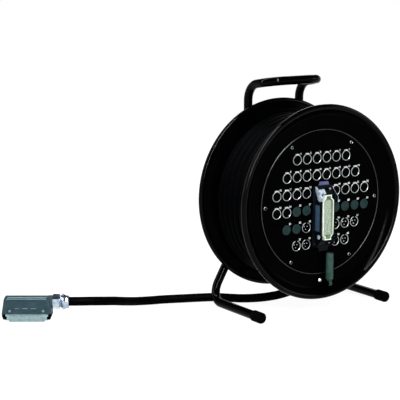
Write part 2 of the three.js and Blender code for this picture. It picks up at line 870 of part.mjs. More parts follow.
// A locking lever, drawn about its pivot in its open place: outward is +Z, the panel is at +Y
function lockingLever() {
  const sidePlate = new THREE.Shape();
  sidePlate.moveTo(-leverNoseLength, -leverNoseWidth / 2);
  sidePlate.lineTo(-leverNoseLength, leverNoseWidth / 2);
  sidePlate.lineTo(leverLean - leverGripThickness, leverLength);
  sidePlate.lineTo(leverLean, leverLength);
  sidePlate.lineTo(leverLean, leverLength - leverArmWidth);
  sidePlate.lineTo(leverEarRadius, 0);
  sidePlate.lineTo(0, -leverEarRadius);
  sidePlate.closePath();
  const pivotHole = new THREE.Path(polygon((pivotRadius + clearance) / Math.cos(Math.PI / pegSides), pegSides));
  sidePlate.holes.push(pivotHole);
  const plateMiddle = housingWidth / 2 + clearance + leverPlate / 2;
  const plates = [-1, 1].map((side) => bar(sidePlate, leverPlate).translate(side * plateMiddle, 0, 0));
  const span = 2 * plateMiddle + leverPlate;
  const crossBar = block(
    span, leverGripThickness, leverCrossWidth,
    0, leverLean - leverGripThickness / 2, leverLength - leverCrossWidth / 2,
  );
  const bridge = block(span, leverBridgeDepth, leverPlate, 0, leverBridgeDepth, bridgeOut);
  const grip = new THREE.Shape();
  grip.moveTo(-leverGripRootWidth / 2, leverLength - leverPlate);
  grip.lineTo(leverGripRootWidth / 2, leverLength - leverPlate);
  grip.lineTo(leverGripEndWidth / 2, leverLength + leverGripDepth);
  grip.lineTo(-leverGripEndWidth / 2, leverLength + leverGripDepth);
  grip.closePath();
  const gripPlate = slab(grip, leverLean - leverGripThickness, leverGripThickness);
  return geometryOf(joined([...plates, crossBar, bridge, gripPlate].map(solidOf)));
}

// Folding crank: a base plate with two ears and a pin, the knuckle that folds, the turning grip
const crankPlateBack = flangeFront - clearance;
const crankPlateFront = crankPlateBack - crankPlateThickness;
const crankAxisY = crankPlateFront - crankAxisReach;

function crankBase() {
  const earReach = knuckleWidth / 2 + clearance + crankEarThickness;
  const width = crankBoltSide + crankOffset + earReach + crankPlateSetIn;
  const middleX = width / 2 - crankBoltSide;
  const low = -crankPlateLow;
  const outline = roundedOutline(width, crankPlateHeight, crankPlateCorner);
  const plate = slab(outline, crankPlateFront, crankPlateThickness)
    .translate(middleX, 0, low + crankPlateHeight / 2);
  const bolt = turned([
    [0, crankPlateFront - crankBoltHeight],
    [crankBoltRadius / 2, crankPlateFront - crankBoltHeight],
    [crankBoltRadius, crankPlateFront - crankBoltHeight / 3],
    [crankBoltRadius, crankPlateFront + crankPlateThickness / 2],
    [0, crankPlateFront + crankPlateThickness / 2],
  ], smallSides).translate(0, 0, low + crankPlateHeight / 2);
  const ear = new THREE.Shape();
  const foot = crankPlateFront + crankPlateThickness / 2;
  ear.moveTo(foot, low + crankEarFootInset);
  ear.lineTo(foot, -crankRadius + crankEarRadius);
  ear.absarc(crankAxisY, -crankRadius, crankEarRadius, Math.PI / 2, 1.5 * Math.PI);
  ear.closePath();
  const earMiddle = earReach - crankEarThickness / 2;
  const ears = [-1, 1].map((side) =>
    bar(ear, crankEarThickness).translate(crankOffset + side * earMiddle, 0, 0));
  const pin = rod(crankPinRadius, -earReach, earReach, smallSides)
    .rotateZ(Math.PI / 2)
    .translate(crankOffset, crankAxisY, -crankRadius);
  return geometryOf(joined([plate, bolt, ...ears, pin].map(solidOf)));
}

// The knuckle about its fold axis, its spindle standing up through the grip
function crankKnuckle() {
  const barrel = rod(knuckleRadius, -knuckleWidth / 2, knuckleWidth / 2, smallSides).rotateZ(Math.PI / 2);
  const neck = block(knuckleWidth, knuckleWidth, knuckleRise, 0, 0, knuckleRise / 2);
  const gripBottom = knuckleRise + clearance;
  const headSeat = gripBottom + gripLength - spindleHeadHeight - 2 * clearance;
  const spindle = turned([
    [0, knuckleRise - knuckleRadius / 2],
    [spindleRadius, knuckleRise - knuckleRadius / 2],
    [spindleRadius, headSeat],
    [spindleHeadRadius, headSeat],
    [spindleHeadRadius, headSeat + spindleHeadHeight],
    [0, headSeat + spindleHeadHeight],
  ], smallSides).rotateX(Math.PI / 2);
  const pinHole = rod(crankPinRadius + clearance, -knuckleWidth, knuckleWidth, smallSides).rotateZ(Math.PI / 2);
  return geometryOf(carved(joined([barrel, neck, spindle].map(solidOf)), [solidOf(pinHole)]));
}

function crankGrip() {
  const bore = spindleRadius + clearance;
  const recess = spindleHeadRadius + clearance;
  const recessFloor = gripLength - spindleHeadHeight - 3 * clearance;
  return turned([
    [bore, 0],
    [gripRadius - gripEndRound, 0],
    [gripRadius, gripEndRound],
    [gripRadius, gripLength - gripEndRound],
    [gripRadius - gripEndRound / 2, gripLength],
    [recess, gripLength],
    [recess, recessFloor],
    [bore, recessFloor],
  ], gripSides).rotateX(Math.PI / 2);
}

// Stand: one bent tube from foot to foot, over the top as the carrying grip
const capCentreHeight = capRadius - capSoleCut;
const footSlope = Math.atan2(capCentreHeight - tubeRadius, standPlane - capFront);
const tubeEndY = capFront + capFloorThickness + clearance;

function frameCorners(side) {
  const point = (x, y, z) => new THREE.Vector3(side * x, y, z);
  const endHeight = capCentreHeight - (tubeEndY - capFront) * Math.tan(footSlope);
  return [
    { at: point(footSide, tubeEndY, endHeight) },
    { at: point(footSide, standPlane, tubeRadius - footDip), radius: footBendRadius },
    { at: point(uprightSide, standPlane, splayHeight), radius: splayBendRadius },
    { at: point(uprightSide, standPlane, shoulderHeight), radius: handleBendRadius },
    { at: point(uprightSide, standPlane - gripReach, gripHeight), radius: handleBendRadius },
  ];
}

function frameTube() {
  const corners = [...frameCorners(-1), ...frameCorners(1).reverse()];
  const section = new THREE.Shape(polygon(tubeRadius, tubeSides));
  section.holes.push(new THREE.Path(polygon(tubeRadius - tubeWall, tubeBoreSides)));
  return tubeAlong(bentStations(corners), section);
}

function footCap(side) {
  const bore = (tubeRadius + clearance) / Math.cos(Math.PI / capSides);
  const cup = turned([
    [0, 0],
    [capRadius - capRound, 0],
    [capRadius, capRound],
    [capRadius, capLength],
    [bore, capLength],
    [bore, capFloorThickness],
    [0, capFloorThickness],
  ], capSides).rotateX(-footSlope).translate(side * footSide, capFront, capCentreHeight);
  const floor = block(capDepth, 2 * capLength, capDepth, side * footSide, capFront + capLength, -capDepth / 2);
  return geometryOf(carved(solidOf(cup), [solidOf(floor)]));
}

// Hub bracket: a pressed channel between the uprights with the axle's boss and the brake's boss
function hubBracket() {
  const width = uprightSpacing - 2 * tubeRadius - 2 * clearance;
  const [front, webBack] = [standPlane - bracketWeb / 2, standPlane + bracketWeb / 2];
  const lipBack = webBack + bracketLip;
  const half = bracketHeight / 2;
  const channel = new THREE.Shape();
  channel.moveTo(front, -half);
  channel.lineTo(lipBack, -half);
  channel.lineTo(lipBack, -half + bracketWeb);
  channel.lineTo(webBack, -half + bracketWeb);
  channel.lineTo(webBack, half - bracketWeb);
  channel.lineTo(lipBack, half - bracketWeb);
  channel.lineTo(lipBack, half);
  channel.lineTo(front, half);
  channel.closePath();
  const boss = rod(bossRadius, bossFront, bossBack, hubSides);
  const brakeBoss = rod(brakeBossRadius, standPlane, webBack + brakeBossLength, smallSides).translate(0, 0, brakeOffset);
  const bore = rod(axleRadius + clearance, bossFront - cutOverrun, bossBack + cutOverrun, hubSides);
  const brakeBore = rod(
    brakeSpindleRadius + clearance, front - cutOverrun, webBack + brakeBossLength + cutOverrun, smallSides,
  ).translate(0, 0, brakeOffset);
  const body = joined([bar(channel, width), boss, brakeBoss].map(solidOf));
  return geometryOf(carved(body, [bore, brakeBore].map(solidOf)));
}

function brakeKnob() {
  const padFront = rearFlangeBack + brakePadGap;
  const stem = turned([
    [0, padFront],
    [brakePadRadius, padFront],
    [brakePadRadius, padFront + brakePadThickness],
    [brakeSpindleRadius, padFront + brakePadThickness],
    [brakeSpindleRadius, brakeKnobFront + brakeKnobThickness / 2],
    [0, brakeKnobFront + brakeKnobThickness / 2],
  ], smallSides);
  const star = polygon(1, stepsPerLobe * brakeLobes).map((point) => {
    const dip = (1 - Math.cos(brakeLobes * point.angle())) / 2;
    return point.multiplyScalar(brakeKnobRadius * (1 - brakeLobeDepthShare * dip));
  });
  const head = slab(new THREE.Shape(star), brakeKnobFront, brakeKnobThickness);
  return geometryOf(joined([stem, head].map(solidOf)));
}

// Hood of the free end: local +X points to the gland, the insert stands on the floor
function hoodOutline(inset) {
  const [low, high] = [hoodBase - hoodEdgeRound, hoodTop - inset];
  const slope = (hoodLength - hoodTopLength) / 2 / (hoodTop - hoodBase);
  const halfAt = (z) => hoodLength / 2 - slope * (z - hoodBase) - inset;
  const outline = new THREE.Shape();
  outline.moveTo(-halfAt(low), low);
  outline.lineTo(halfAt(low), low);
  outline.lineTo(halfAt(high), high);
  outline.lineTo(-halfAt(high), high);
  outline.closePath();
  return outline;
}

const hoodCavityLength = hoodTopLength - 2 * hoodWall;
const hoodCavityWidth = hoodWidth - 2 * hoodWall;
const glandBossFront = hoodTopLength / 2 - hoodWall;
const glandSeat = hoodLength / 2 + glandBossReach;

function hoodShell() {
  const body = new THREE.ExtrudeGeometry(hoodOutline(hoodEdgeRound), {
    depth: hoodWidth - 2 * hoodEdgeRound,
    bevelThickness: hoodEdgeRound,
    bevelSize: hoodEdgeRound,
    bevelSegments: 2,
  }).rotateX(Math.PI / 2).translate(0, hoodWidth / 2 - hoodEdgeRound, 0);
  const boss = rod(glandBossRadius, glandBossFront, glandSeat, glandSides)
    .rotateZ(-Math.PI / 2).translate(0, 0, glandHeight);
  const pegs = [-1, 1].map((end) =>
    rod(hoodPegRadius, -hoodWidth / 2 - hoodPegReach, hoodWidth / 2 + hoodPegReach, pegSides)
      .translate(end * (hoodLength / 2 - hoodPegSetIn), 0, hoodPegHeight));
  const panelBase = hoodPegHeight + hoodPegRadius + hoodPanelRise;
  const panelTop = hoodTop - 2 * hoodEdgeRound;
  const raised = block(
    hoodTopLength - 2 * hoodPanelInset, hoodWidth + 2 * hoodPanelRise, panelTop - panelBase,
    0, 0, (panelTop + panelBase) / 2,
  );
  const below = block(2 * hoodLength, 2 * hoodWidth, hoodBase, 0, 0, hoodBase / 2);
  const cavityTop = hoodTop - hoodWall;
  const cavity = block(
    hoodCavityLength, hoodCavityWidth, cavityTop - hoodBase + cutOverrun,
    0, 0, (cavityTop + hoodBase - cutOverrun) / 2,
  );
  const port = rod(glandNeckRadius + clearance, glandBossFront, glandSeat + cutOverrun, glandSides)
    .rotateZ(-Math.PI / 2).translate(0, 0, glandHeight);
  const whole = joined([body, boss, ...pegs, raised].map(solidOf));
  return geometryOf(carved(whole, [below, cavity, port].map(solidOf)));
}

function hoodInsert() {
  const side = new THREE.Shape();
  side.moveTo(-hoodInsertLength / 2, 0);
  side.lineTo(hoodInsertLength / 2, 0);
  side.lineTo(hoodInsertTopLength / 2, hoodBase);
  side.lineTo(hoodInsertTopLength / 2, hoodBase + hoodInsertSeat);
  side.lineTo(-hoodInsertTopLength / 2, hoodBase + hoodInsertSeat);
  side.lineTo(-hoodInsertTopLength / 2, hoodBase);
  side.closePath();
  const body = slab(side, -hoodInsertWidth / 2, hoodInsertWidth);
  const seat = block(
    hoodCavityLength - 2 * clearance, hoodCavityWidth - 2 * clearance, hoodInsertSeat,
    0, 0, hoodBase + hoodInsertSeat / 2,
  );
  const ribPitch = hoodInsertLength / hoodRibCount;
  const ribHeight = hoodBase - hoodRibWidth;
  const ribs = [];
  for (let i = 0; i < hoodRibCount; i += 1) {
    const x = (i - (hoodRibCount - 1) / 2) * ribPitch;
    ribs.push(block(hoodRibWidth, hoodInsertWidth + 2 * hoodRibDepth, ribHeight, x, 0, ribHeight / 2));
  }
  const guideHeight = hoodBase - hoodGuideBase + hoodInsertSeat / 2;
  const guides = [-1, 1].map((end) => block(
    hoodGuideLength, hoodGuideWidth, guideHeight,
    end * (hoodCavityLength / 2 - clearance - hoodGuideLength / 2), 0, hoodGuideBase + guideHeight / 2,
  ));
  return geometryOf(joined([body, seat, ...ribs, ...guides].map(solidOf)));
}

const glandBore = cordRadius + clearance;
const glandHexFront = glandSeat + clearance;
const glandHexBack = glandHexFront + glandHexLength;
const glandNutFront = glandHexBack + glandGap;
const glandNutBack = glandNutFront + glandNutLength;

function glandBody() {
  const neckFront = glandBossFront + clearance;
  const sleeve = turned([
    [glandBore, neckFront],
    [glandNeckRadius, neckFront],
    [glandNeckRadius, glandHexFront + clearance],
    [glandThreadRadius, glandHexFront + clearance],
    [glandThreadRadius, glandHexBack + glandThreadLength],
    [glandBore, glandHexBack + glandThreadLength],
  ], glandSides);
  const hex = new THREE.Shape(polygon(glandHexAcross / 2 / Math.cos(Math.PI / 6), 6));
  hex.holes.push(new THREE.Path(polygon(glandThreadRadius - clearance, glandSides, Math.PI / 2)));
  const nutBody = slab(hex, glandHexFront, glandHexLength);
  return geometryOf(joined([sleeve, nutBody].map(solidOf))).rotateZ(-Math.PI / 2);
}

function glandNut() {
  const bore = (glandThreadRadius + clearance) / Math.cos(Math.PI / glandSides);
  const shoulder = glandHexBack + glandThreadLength + clearance;
  return turned([
    [bore, glandNutFront],
    [glandNutEndRadius, glandNutFront],
    [glandNutRadius, glandNutFront + glandNutLength * nutFlareShare],
    [glandNutWaistRadius, glandNutFront + glandNutLength * nutWaistShare],
    [glandNutEndRadius, glandNutBack],
    [glandBore, glandNutBack],
    [glandBore, shoulder],
    [bore, shoulder],
  ], glandSides).rotateZ(-Math.PI / 2);
}

// The free cord: from the winding's end to the gland's mouth, straight for one diameter at both ends
function freeCord() {
  const leave = windingPlace(0);
  const alongWinding = new THREE.Vector3(leave.z, 0, -leave.x).normalize();
  const start = windingStations().at(-1).addScaledVector(alongWinding, clearance);
  start.z += axisHeight;
  const firstRun = start.clone().addScaledVector(alongWinding, cordDiameter);
  const turn = THREE.MathUtils.degToRad(hoodTurn);
  const alongHood = new THREE.Vector3(Math.cos(turn), Math.sin(turn), 0);
  const mouth = new THREE.Vector3(hoodX, hoodSetback, glandHeight)
    .addScaledVector(alongHood, glandNutBack + clearance);
  const lastRun = mouth.clone().addScaledVector(alongHood, cordDiameter);
  const between = cordRoute.map(([x, y, z]) => new THREE.Vector3(x, y, z));
  const curve = new THREE.CatmullRomCurve3([firstRun, ...between, lastRun], false, 'centripetal');
  const stations = [start, ...curve.getSpacedPoints(cordSteps), mouth];
  return tubeAlong(stations, new THREE.Shape(polygon(cordRadius, cordSides)));
}

// Assembly
const group = new THREE.Group();
group.position.y = originShift;
const drum = new THREE.Group();
drum.position.z = axisHeight;
const hood = new THREE.Group();
hood.position.set(hoodX, hoodSetback, 0);
hood.rotation.z = THREE.MathUtils.degToRad(hoodTurn);
const crank = new THREE.Group();
crank.position.set(crankOffset, crankAxisY, -crankRadius);
drum.add(crank);
group.add(drum, hood);

function place(name, geometry, material, parent, x = 0, y = 0, z = 0) {
  const mesh = new THREE.Mesh(tidy(geometry), material());
  mesh.name = name;
  mesh.position.set(x, y, z);
  parent.add(mesh);
  return mesh;
}

place('frame_tube', frameTube(), blackLacquer, group);
place('foot_cap_left', footCap(-1), blackRubber, group);
place('foot_cap_right', footCap(1), blackRubber, group);
place('cord_free', freeCord(), cordJacket, group);

place('hub_bracket', hubBracket(), blackLacquer, drum);
place('axle', axle(), zincPlate, drum);
place('axle_nut', nut(frontBushFace - clearance - nutThickness), zincPlate, drum);
place('brake_knob', brakeKnob(), blackShell, drum, 0, 0, brakeOffset);

place('front_flange', frontFlange(), blackLacquer, drum);
place('rear_flange', rearFlange(), blackLacquer, drum);
place('drum_core', drumCore(), blackLacquer, drum);
place('bush_rear', bush(coreRear, 1), bronzeBush, drum);
place('bush_front', bush(sleeveFront, -1), bronzeBush, drum);
place('cable_core', cableCore(), cordJacket, drum);
place('cable_winding', cableWinding(), cordJacket, drum);
place('connector_panel', connectorPanel(), blackPanel, drum);
pinPlaces.forEach(({ x, z }, index) => place(`pin_connector_${index + 1}`, pinCup(), blackShell, drum, x, 0, z));
socketPlaces.forEach(({ x, z }, index) =>
  place(`push_latch_${index + 1}`, pushLatch(), zincPlate, drum, x, 0, z + latchRise));

place('housing_seal', housingSeal(), blackRubber, drum, 0, 0, -multipoleDrop);
place('multipole_housing', multipoleHousing(), housingBlue, drum, 0, 0, -multipoleDrop);
place('multipole_insert', multipoleInsert(), creamInsert, drum, 0, 0, -multipoleDrop);
place('lever_top', lockingLever(), leverBlue, drum, 0, pivotY, pivotSpan - multipoleDrop);
const lowerLever = place('lever_bottom', lockingLever(), leverBlue, drum, 0, pivotY, -pivotSpan - multipoleDrop);
lowerLever.rotation.y = Math.PI;

place('crank_base', crankBase(), blackLacquer, drum);
place('crank_knuckle', crankKnuckle(), greyGrip, crank);
place('crank_grip', crankGrip(), greyGrip, crank, 0, 0, knuckleRise + clearance);

place('hood_shell', hoodShell(), hoodBlue, hood);
place('hood_insert', hoodInsert(), paleInsert, hood);
place('gland_body', glandBody(), nickel, hood, 0, 0, glandHeight);
place('gland_nut', glandNut(), nickel, hood, 0, 0, glandHeight);

export default group;
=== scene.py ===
# Multicore cable drum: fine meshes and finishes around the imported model.
# Shapes are modelled in millimetres in the row frame, and become metres when a piece is added.
import math

import bmesh
import bpy
from mathutils import Matrix, Vector


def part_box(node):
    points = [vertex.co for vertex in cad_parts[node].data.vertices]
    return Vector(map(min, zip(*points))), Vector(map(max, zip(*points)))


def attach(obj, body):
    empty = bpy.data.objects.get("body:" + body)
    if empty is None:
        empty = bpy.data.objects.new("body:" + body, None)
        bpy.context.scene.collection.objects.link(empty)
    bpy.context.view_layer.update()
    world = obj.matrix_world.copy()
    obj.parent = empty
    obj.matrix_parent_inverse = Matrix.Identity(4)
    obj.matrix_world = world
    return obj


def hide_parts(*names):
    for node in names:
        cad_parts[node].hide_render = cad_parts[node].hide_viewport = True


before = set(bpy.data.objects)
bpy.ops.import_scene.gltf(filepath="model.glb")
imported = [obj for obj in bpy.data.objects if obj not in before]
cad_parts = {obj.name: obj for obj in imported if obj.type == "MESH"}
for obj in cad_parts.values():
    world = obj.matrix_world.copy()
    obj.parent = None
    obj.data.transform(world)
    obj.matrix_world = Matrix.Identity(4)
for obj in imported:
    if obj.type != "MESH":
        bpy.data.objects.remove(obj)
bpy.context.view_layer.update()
MM = 0.001


def low(node):
    return Vector(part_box(node)[0]) / MM


def high(node):
    return Vector(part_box(node)[1]) / MM


def middle(node):
    return (low(node) + high(node)) / 2


def linked(name, data):
    """Puts data into the scene as an object."""
    made = bpy.data.objects.new(name, data)
    bpy.context.collection.objects.link(made)
    return made


# Places taken from the frame
BLANK_HEIGHT = 1.4
PANEL_FACE = low("connector_panel").y + BLANK_HEIGHT
AXIS_HEIGHT = middle("front_flange").z
CLEARANCE = 0.3

# Points nearer than this are one, in a new piece and in a copy of a node
MERGE_DISTANCE = 0.0001
NODE_MERGE_DISTANCE = 0.001
# Facets of a node that turn less than this are one flat face, in degrees
FLAT_ANGLE = 1
# Edges of castings and mouldings that turn more than this are rounded, in degrees
CASTING_ANGLE = 50

# Camera, from the photograph's perspective
CAMERA_LENS = 119.157
CAMERA_SENSOR = 36
CAMERA_TURN = 32.361
CAMERA_DIP = 10.275
CAMERA_PLACE = (-1948, -2522.5, 852.15)

# Drum
FLANGE_RADIUS = 240
FLANGE_SHEET = 2.5
DISH_RADIUS = 213
BEAD_RADIUS = 7
RIM_RISE = 10.8
FRONT_OPENING = 151.5
DRUM_STEPS = 192

# Cord and winding
CORD_DIAMETER = 22
WINDING_RADIUS = 197
WINDING_GAP = 0.5
EXIT_ANGLE = -75
TRAVERSE_SWEEP = 75
CLIMB_SWEEP = 60
EXIT_SETBACK = 75
STEPS_PER_TURN = 72
COARSE_STEPS_PER_TURN = 24
ROUTE_STEPS = 8
CORD_SIDES = 24

# Connector panel
PANEL_RADIUS = 179
PANEL_THICKNESS = 3
PANEL_LIP = 1.2
PANEL_LIP_WIDTH = 2
PANEL_SCREW_CIRCLE = 166.4
COLUMN_PITCH = 29.6
ROW_PITCH = 42
GRID_RISE = 4
RING_OUTSIDE = 12.4
RING_INSIDE = 10.6
RING_LINE = 11.3
RING_HEIGHT = 1.0
CORE_RADIUS = 8
GROOVE_DEPTH = 9
LATCH_RISE = 12.9
LATCH_WIDTH = 11
LATCH_HEIGHT = 4
LATCH_PROUD = 1.3
LATCH_LENGTH = 8.6
CONTACT_CIRCLE = 5.6
CONTACT_RADIUS = 1.2
PIN_CIRCLE = 4.8
PIN_TIP = 1
PIN_SHADE_START = 3.2
CUP_RADIUS = 9.7
CUP_DEPTH = 15
KEY_WIDTH = 5
LABEL_OFFSET = (10.6, 14.2)
LABEL_SIZE = 6.4
CONNECTOR_STEPS = 48
COLUMNS = 10

# Rows of the panel from the top, as (row, columns of sockets, of blanks, of pin connectors)
ROWS = (
    (1, (3, 4, 5, 6, 7, 8), (), ()),
    (2, (2, 3, 4, 5, 6, 7, 8, 9), (), ()),
    (3, (1, 2, 3, 4, 7, 8, 9, 10), (), ()),
    (4, (1, 2), (3, 4, 7, 8, 9, 10), ()),
    (5, (), (2, 3), (4, 7, 8, 9)),
    (6, (), (), (3, 4, 7, 8)),
)


# Camera
camera = linked("camera", bpy.data.cameras.new("camera"))
camera.data.lens = CAMERA_LENS
camera.data.sensor_width = CAMERA_SENSOR
camera.location = Vector((CAMERA_PLACE[0], CAMERA_PLACE[1] + PANEL_FACE, CAMERA_PLACE[2])) * MM
camera.rotation_euler = (math.radians(90 - CAMERA_DIP), 0, math.radians(-CAMERA_TURN))
bpy.context.scene.camera = camera
bpy.context.scene.view_settings.view_transform = "Standard"


# Modelling helpers
def lathe(profile, steps=CONNECTOR_STEPS, closed=False):
    """Spins a profile of (radius, place along Y) about the Y axis."""
    bm = bmesh.new()
    verts = [bm.verts.new((radius, along, 0)) for radius, along in profile]
    edges = [bm.edges.new(pair) for pair in zip(verts, verts[1:])]
    if closed:
        edges.append(bm.edges.new((verts[-1], verts[0])))
    bmesh.ops.spin(
        bm, geom=verts + edges, cent=(0, 0, 0), axis=(0, 1, 0), angle=2 * math.pi, steps=steps, use_merge=True
    )
    bmesh.ops.remove_doubles(bm, verts=bm.verts, dist=MERGE_DISTANCE)
    bmesh.ops.recalc_face_normals(bm, faces=bm.faces)
    return bm


PLANES = {
    "XZ": (lambda u, v, w: (u, w, v), (0, 1, 0)),
    "YZ": (lambda u, v, w: (w, u, v), (1, 0, 0)),
}


def plate(outline, plane, start, depth):
    """A flat outline with a thickness across its plane."""
    put, across = PLANES[plane]
    bm = bmesh.new()
    face = bm.faces.new([bm.verts.new(put(u, v, start)) for u, v in outline])
    made = bmesh.ops.extrude_face_region(bm, geom=[face])["geom"]
    lifted = [part for part in made if isinstance(part, bmesh.types.BMVert)]
    bmesh.ops.translate(bm, verts=lifted, vec=Vector(across) * depth)
    bmesh.ops.recalc_face_normals(bm, faces=bm.faces)
    return bm


def cuboid(size, centre):
    bm = bmesh.new()
    bmesh.ops.create_cube(bm, size=1, matrix=Matrix.Translation(centre) @ Matrix.Diagonal((*size, 1)))
    return bm


def on_circle(radius, degrees, centre=(0, 0)):
    """The place at an angle on a circle."""
    angle = math.radians(degrees)
    return centre[0] + radius * math.cos(angle), centre[1] + radius * math.sin(angle)


def arc(centre, radius, start, end, steps):
    """Points of an arc, with its angles in degrees."""
    return [on_circle(radius, start + (end - start) * step / steps, centre) for step in range(steps + 1)]


def drill(radius, span, steps=CONNECTOR_STEPS):
    """A closed rod along Y, to cut a round hole with."""
    start, end = span
    return lathe([(0, start), (radius, start), (radius, end), (0, end)], steps)


def groove(radius, start, shape):
    """A groove's points in a profile, from its shape as (depth, place along)."""
    return [(radius - depth, start + along) for depth, along in shape]


def ease(bm, width, segments=2, above=35):
    """Rounds every edge that is sharper than an angle."""
    sharp = [edge for edge in bm.edges if edge.is_manifold and edge.calc_face_angle() > math.radians(above)]
    bmesh.ops.bevel(
        bm, geom=sharp, offset=width, offset_type="OFFSET", segments=segments, profile=0.5,
        affect="EDGES", clamp_overlap=True, material=-1,
    )
    return bm


def sliced(bm, place, normal, clear=False):
    """Draws new edges along a plane, and clears what lies past it if asked; returns the new edges."""
    everything = bm.verts[:] + bm.edges[:] + bm.faces[:]
    made = bmesh.ops.bisect_plane(bm, geom=everything, plane_co=place, plane_no=normal, clear_outer=clear)
    return [part for part in made["geom_cut"] if isinstance(part, bmesh.types.BMEdge)]


def moved(bm, matrix):
    """Moves a whole bmesh."""
    bmesh.ops.transform(bm, matrix=matrix, verts=bm.verts)
    return bm


def as_mesh(bm, name):
    """The bmesh as Blender's mesh data; the bmesh goes."""
    mesh = bpy.data.meshes.new(name)
    bm.to_mesh(mesh)
    bm.free()
    return mesh


def copies(unit, places):
    """One bmesh that holds a unit at each place, given as a matrix."""
    source = as_mesh(unit, "unit")
    whole = bmesh.new()
    for matrix in places:
        before = len(whole.verts)
        whole.from_mesh(source)
        whole.verts.ensure_lookup_table()
        bmesh.ops.transform(whole, matrix=matrix, verts=whole.verts[before:])
    bpy.data.meshes.remove(source)
    return whole


def joined(*parts):
    """Several bmeshes as one; the parts go."""
    whole = bmesh.new()
    for part in parts:
        source = as_mesh(part, "part")
        whole.from_mesh(source)
        bpy.data.meshes.remove(source)
    return whole


def baked(helper):
    """The finished mesh of a helper object as a bmesh; the helper goes."""
    graph = bpy.context.evaluated_depsgraph_get()
    mesh = bpy.data.meshes.new_from_object(helper.evaluated_get(graph))
    bm = bmesh.new()
    bm.from_mesh(mesh)
    bpy.data.meshes.remove(mesh)
    bpy.data.objects.remove(helper)
    return bm


def cut(bm, tool, operation="DIFFERENCE"):
    """Takes one closed bmesh out of another, or keeps what both share."""
    body = linked("body", as_mesh(bm, "body"))
    cutter = linked("cutter", as_mesh(tool, "cutter"))
    knife = body.modifiers.new("cut", "BOOLEAN")
    knife.object = cutter
    knife.operation = operation
    knife.solver = "EXACT"
    result = baked(body)
    bpy.data.objects.remove(cutter)
    return result


def tube(path, radius, sides):
    """A round tube with flat ends along a fine path of points."""
    line = bpy.data.curves.new("line", "CURVE")
    line.dimensions = "3D"
    line.bevel_depth = radius
    line.bevel_resolution = sides // 4 - 1
    line.use_fill_caps = True
    spline = line.splines.new("POLY")
    spline.points.add(len(path) - 1)
    for point, place in zip(spline.points, path):
        point.co = (*place, 1)
    bm = baked(linked("line", line))
    bmesh.ops.remove_doubles(bm, verts=bm.verts, dist=MERGE_DISTANCE)
    bmesh.ops.recalc_face_normals(bm, faces=bm.faces)
    return bm


def refined(node, width, segments=2, above=35):
    """A merged copy of a node with its facets joined and its edges rounded."""
    bm = bmesh.new()
    bm.from_mesh(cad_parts[node].data)
    bmesh.ops.scale(bm, vec=(1 / MM,) * 3, verts=bm.verts)
    bmesh.ops.remove_doubles(bm, verts=bm.verts, dist=NODE_MERGE_DISTANCE)
    bmesh.ops.dissolve_limit(bm, angle_limit=math.radians(FLAT_ANGLE), verts=bm.verts, edges=bm.edges)
    return ease(bm, width, segments, above)


def paint(bm, index, test):
    """Gives the faces whose middle passes a test another of the piece's finishes."""
    for face in bm.faces:
        if test(face.calc_center_median()):
            face.material_index = index
    return bm


def add_piece(name, bm, finishes, body, replaces=(), smooth=40, flat=False):
    """Makes a piece of a bmesh in millimetres and rides it on its body."""
    bmesh.ops.scale(bm, vec=(MM,) * 3, verts=bm.verts)
    mesh = as_mesh(bm, name)
    mesh.shade_smooth()
    mesh.set_sharp_from_angle(angle=math.radians(smooth))
    for surface in finishes if isinstance(finishes, (list, tuple)) else [finishes]:
        mesh.materials.append(surface)
    piece = linked(name, mesh)
    if flat:
        piece.modifiers.new("even_faces", "WEIGHTED_NORMAL").keep_sharp = True
    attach(piece, body)
    if replaces:
        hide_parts(*replaces)
    return piece


# Materials
def linear(code):
    """An sRGB hex colour as a linear RGBA."""
    values = []
    for start in (0, 2, 4):
        value = int(code[start:start + 2], 16) / 255
        values.append(value / 12.92 if value <= 0.04045 else ((value + 0.055) / 1.055) ** 2.4)
    return (*values, 1)


def node(tree, kind, inputs=None, **settings):
    """Adds one node with its settings; an input is a value or another node's output."""
    made = tree.nodes.new(kind)
    for name, value in settings.items():
        setattr(made, name, value)
    for name, value in (inputs or {}).items():
        if isinstance(value, bpy.types.NodeSocket):
            tree.links.new(value, made.inputs[name])
        else:
            made.inputs[name].default_value = value
    return made


def empty_tree(owner):
    owner.use_nodes = True
    owner.node_tree.nodes.clear()
    return owner.node_tree


def per_metre(size):
    """The noise scale that gives patches of a size in millimetres."""
    return 1 / (size * MM)


# How fine the two noises are, and the parts of the first over which colour and roughness change
DRIFT_DETAIL = 6
GRAIN_DETAIL = 3
COLOUR_SPAN = (0.35, 0.7)
WEAR_SPAN = (0.3, 0.75)


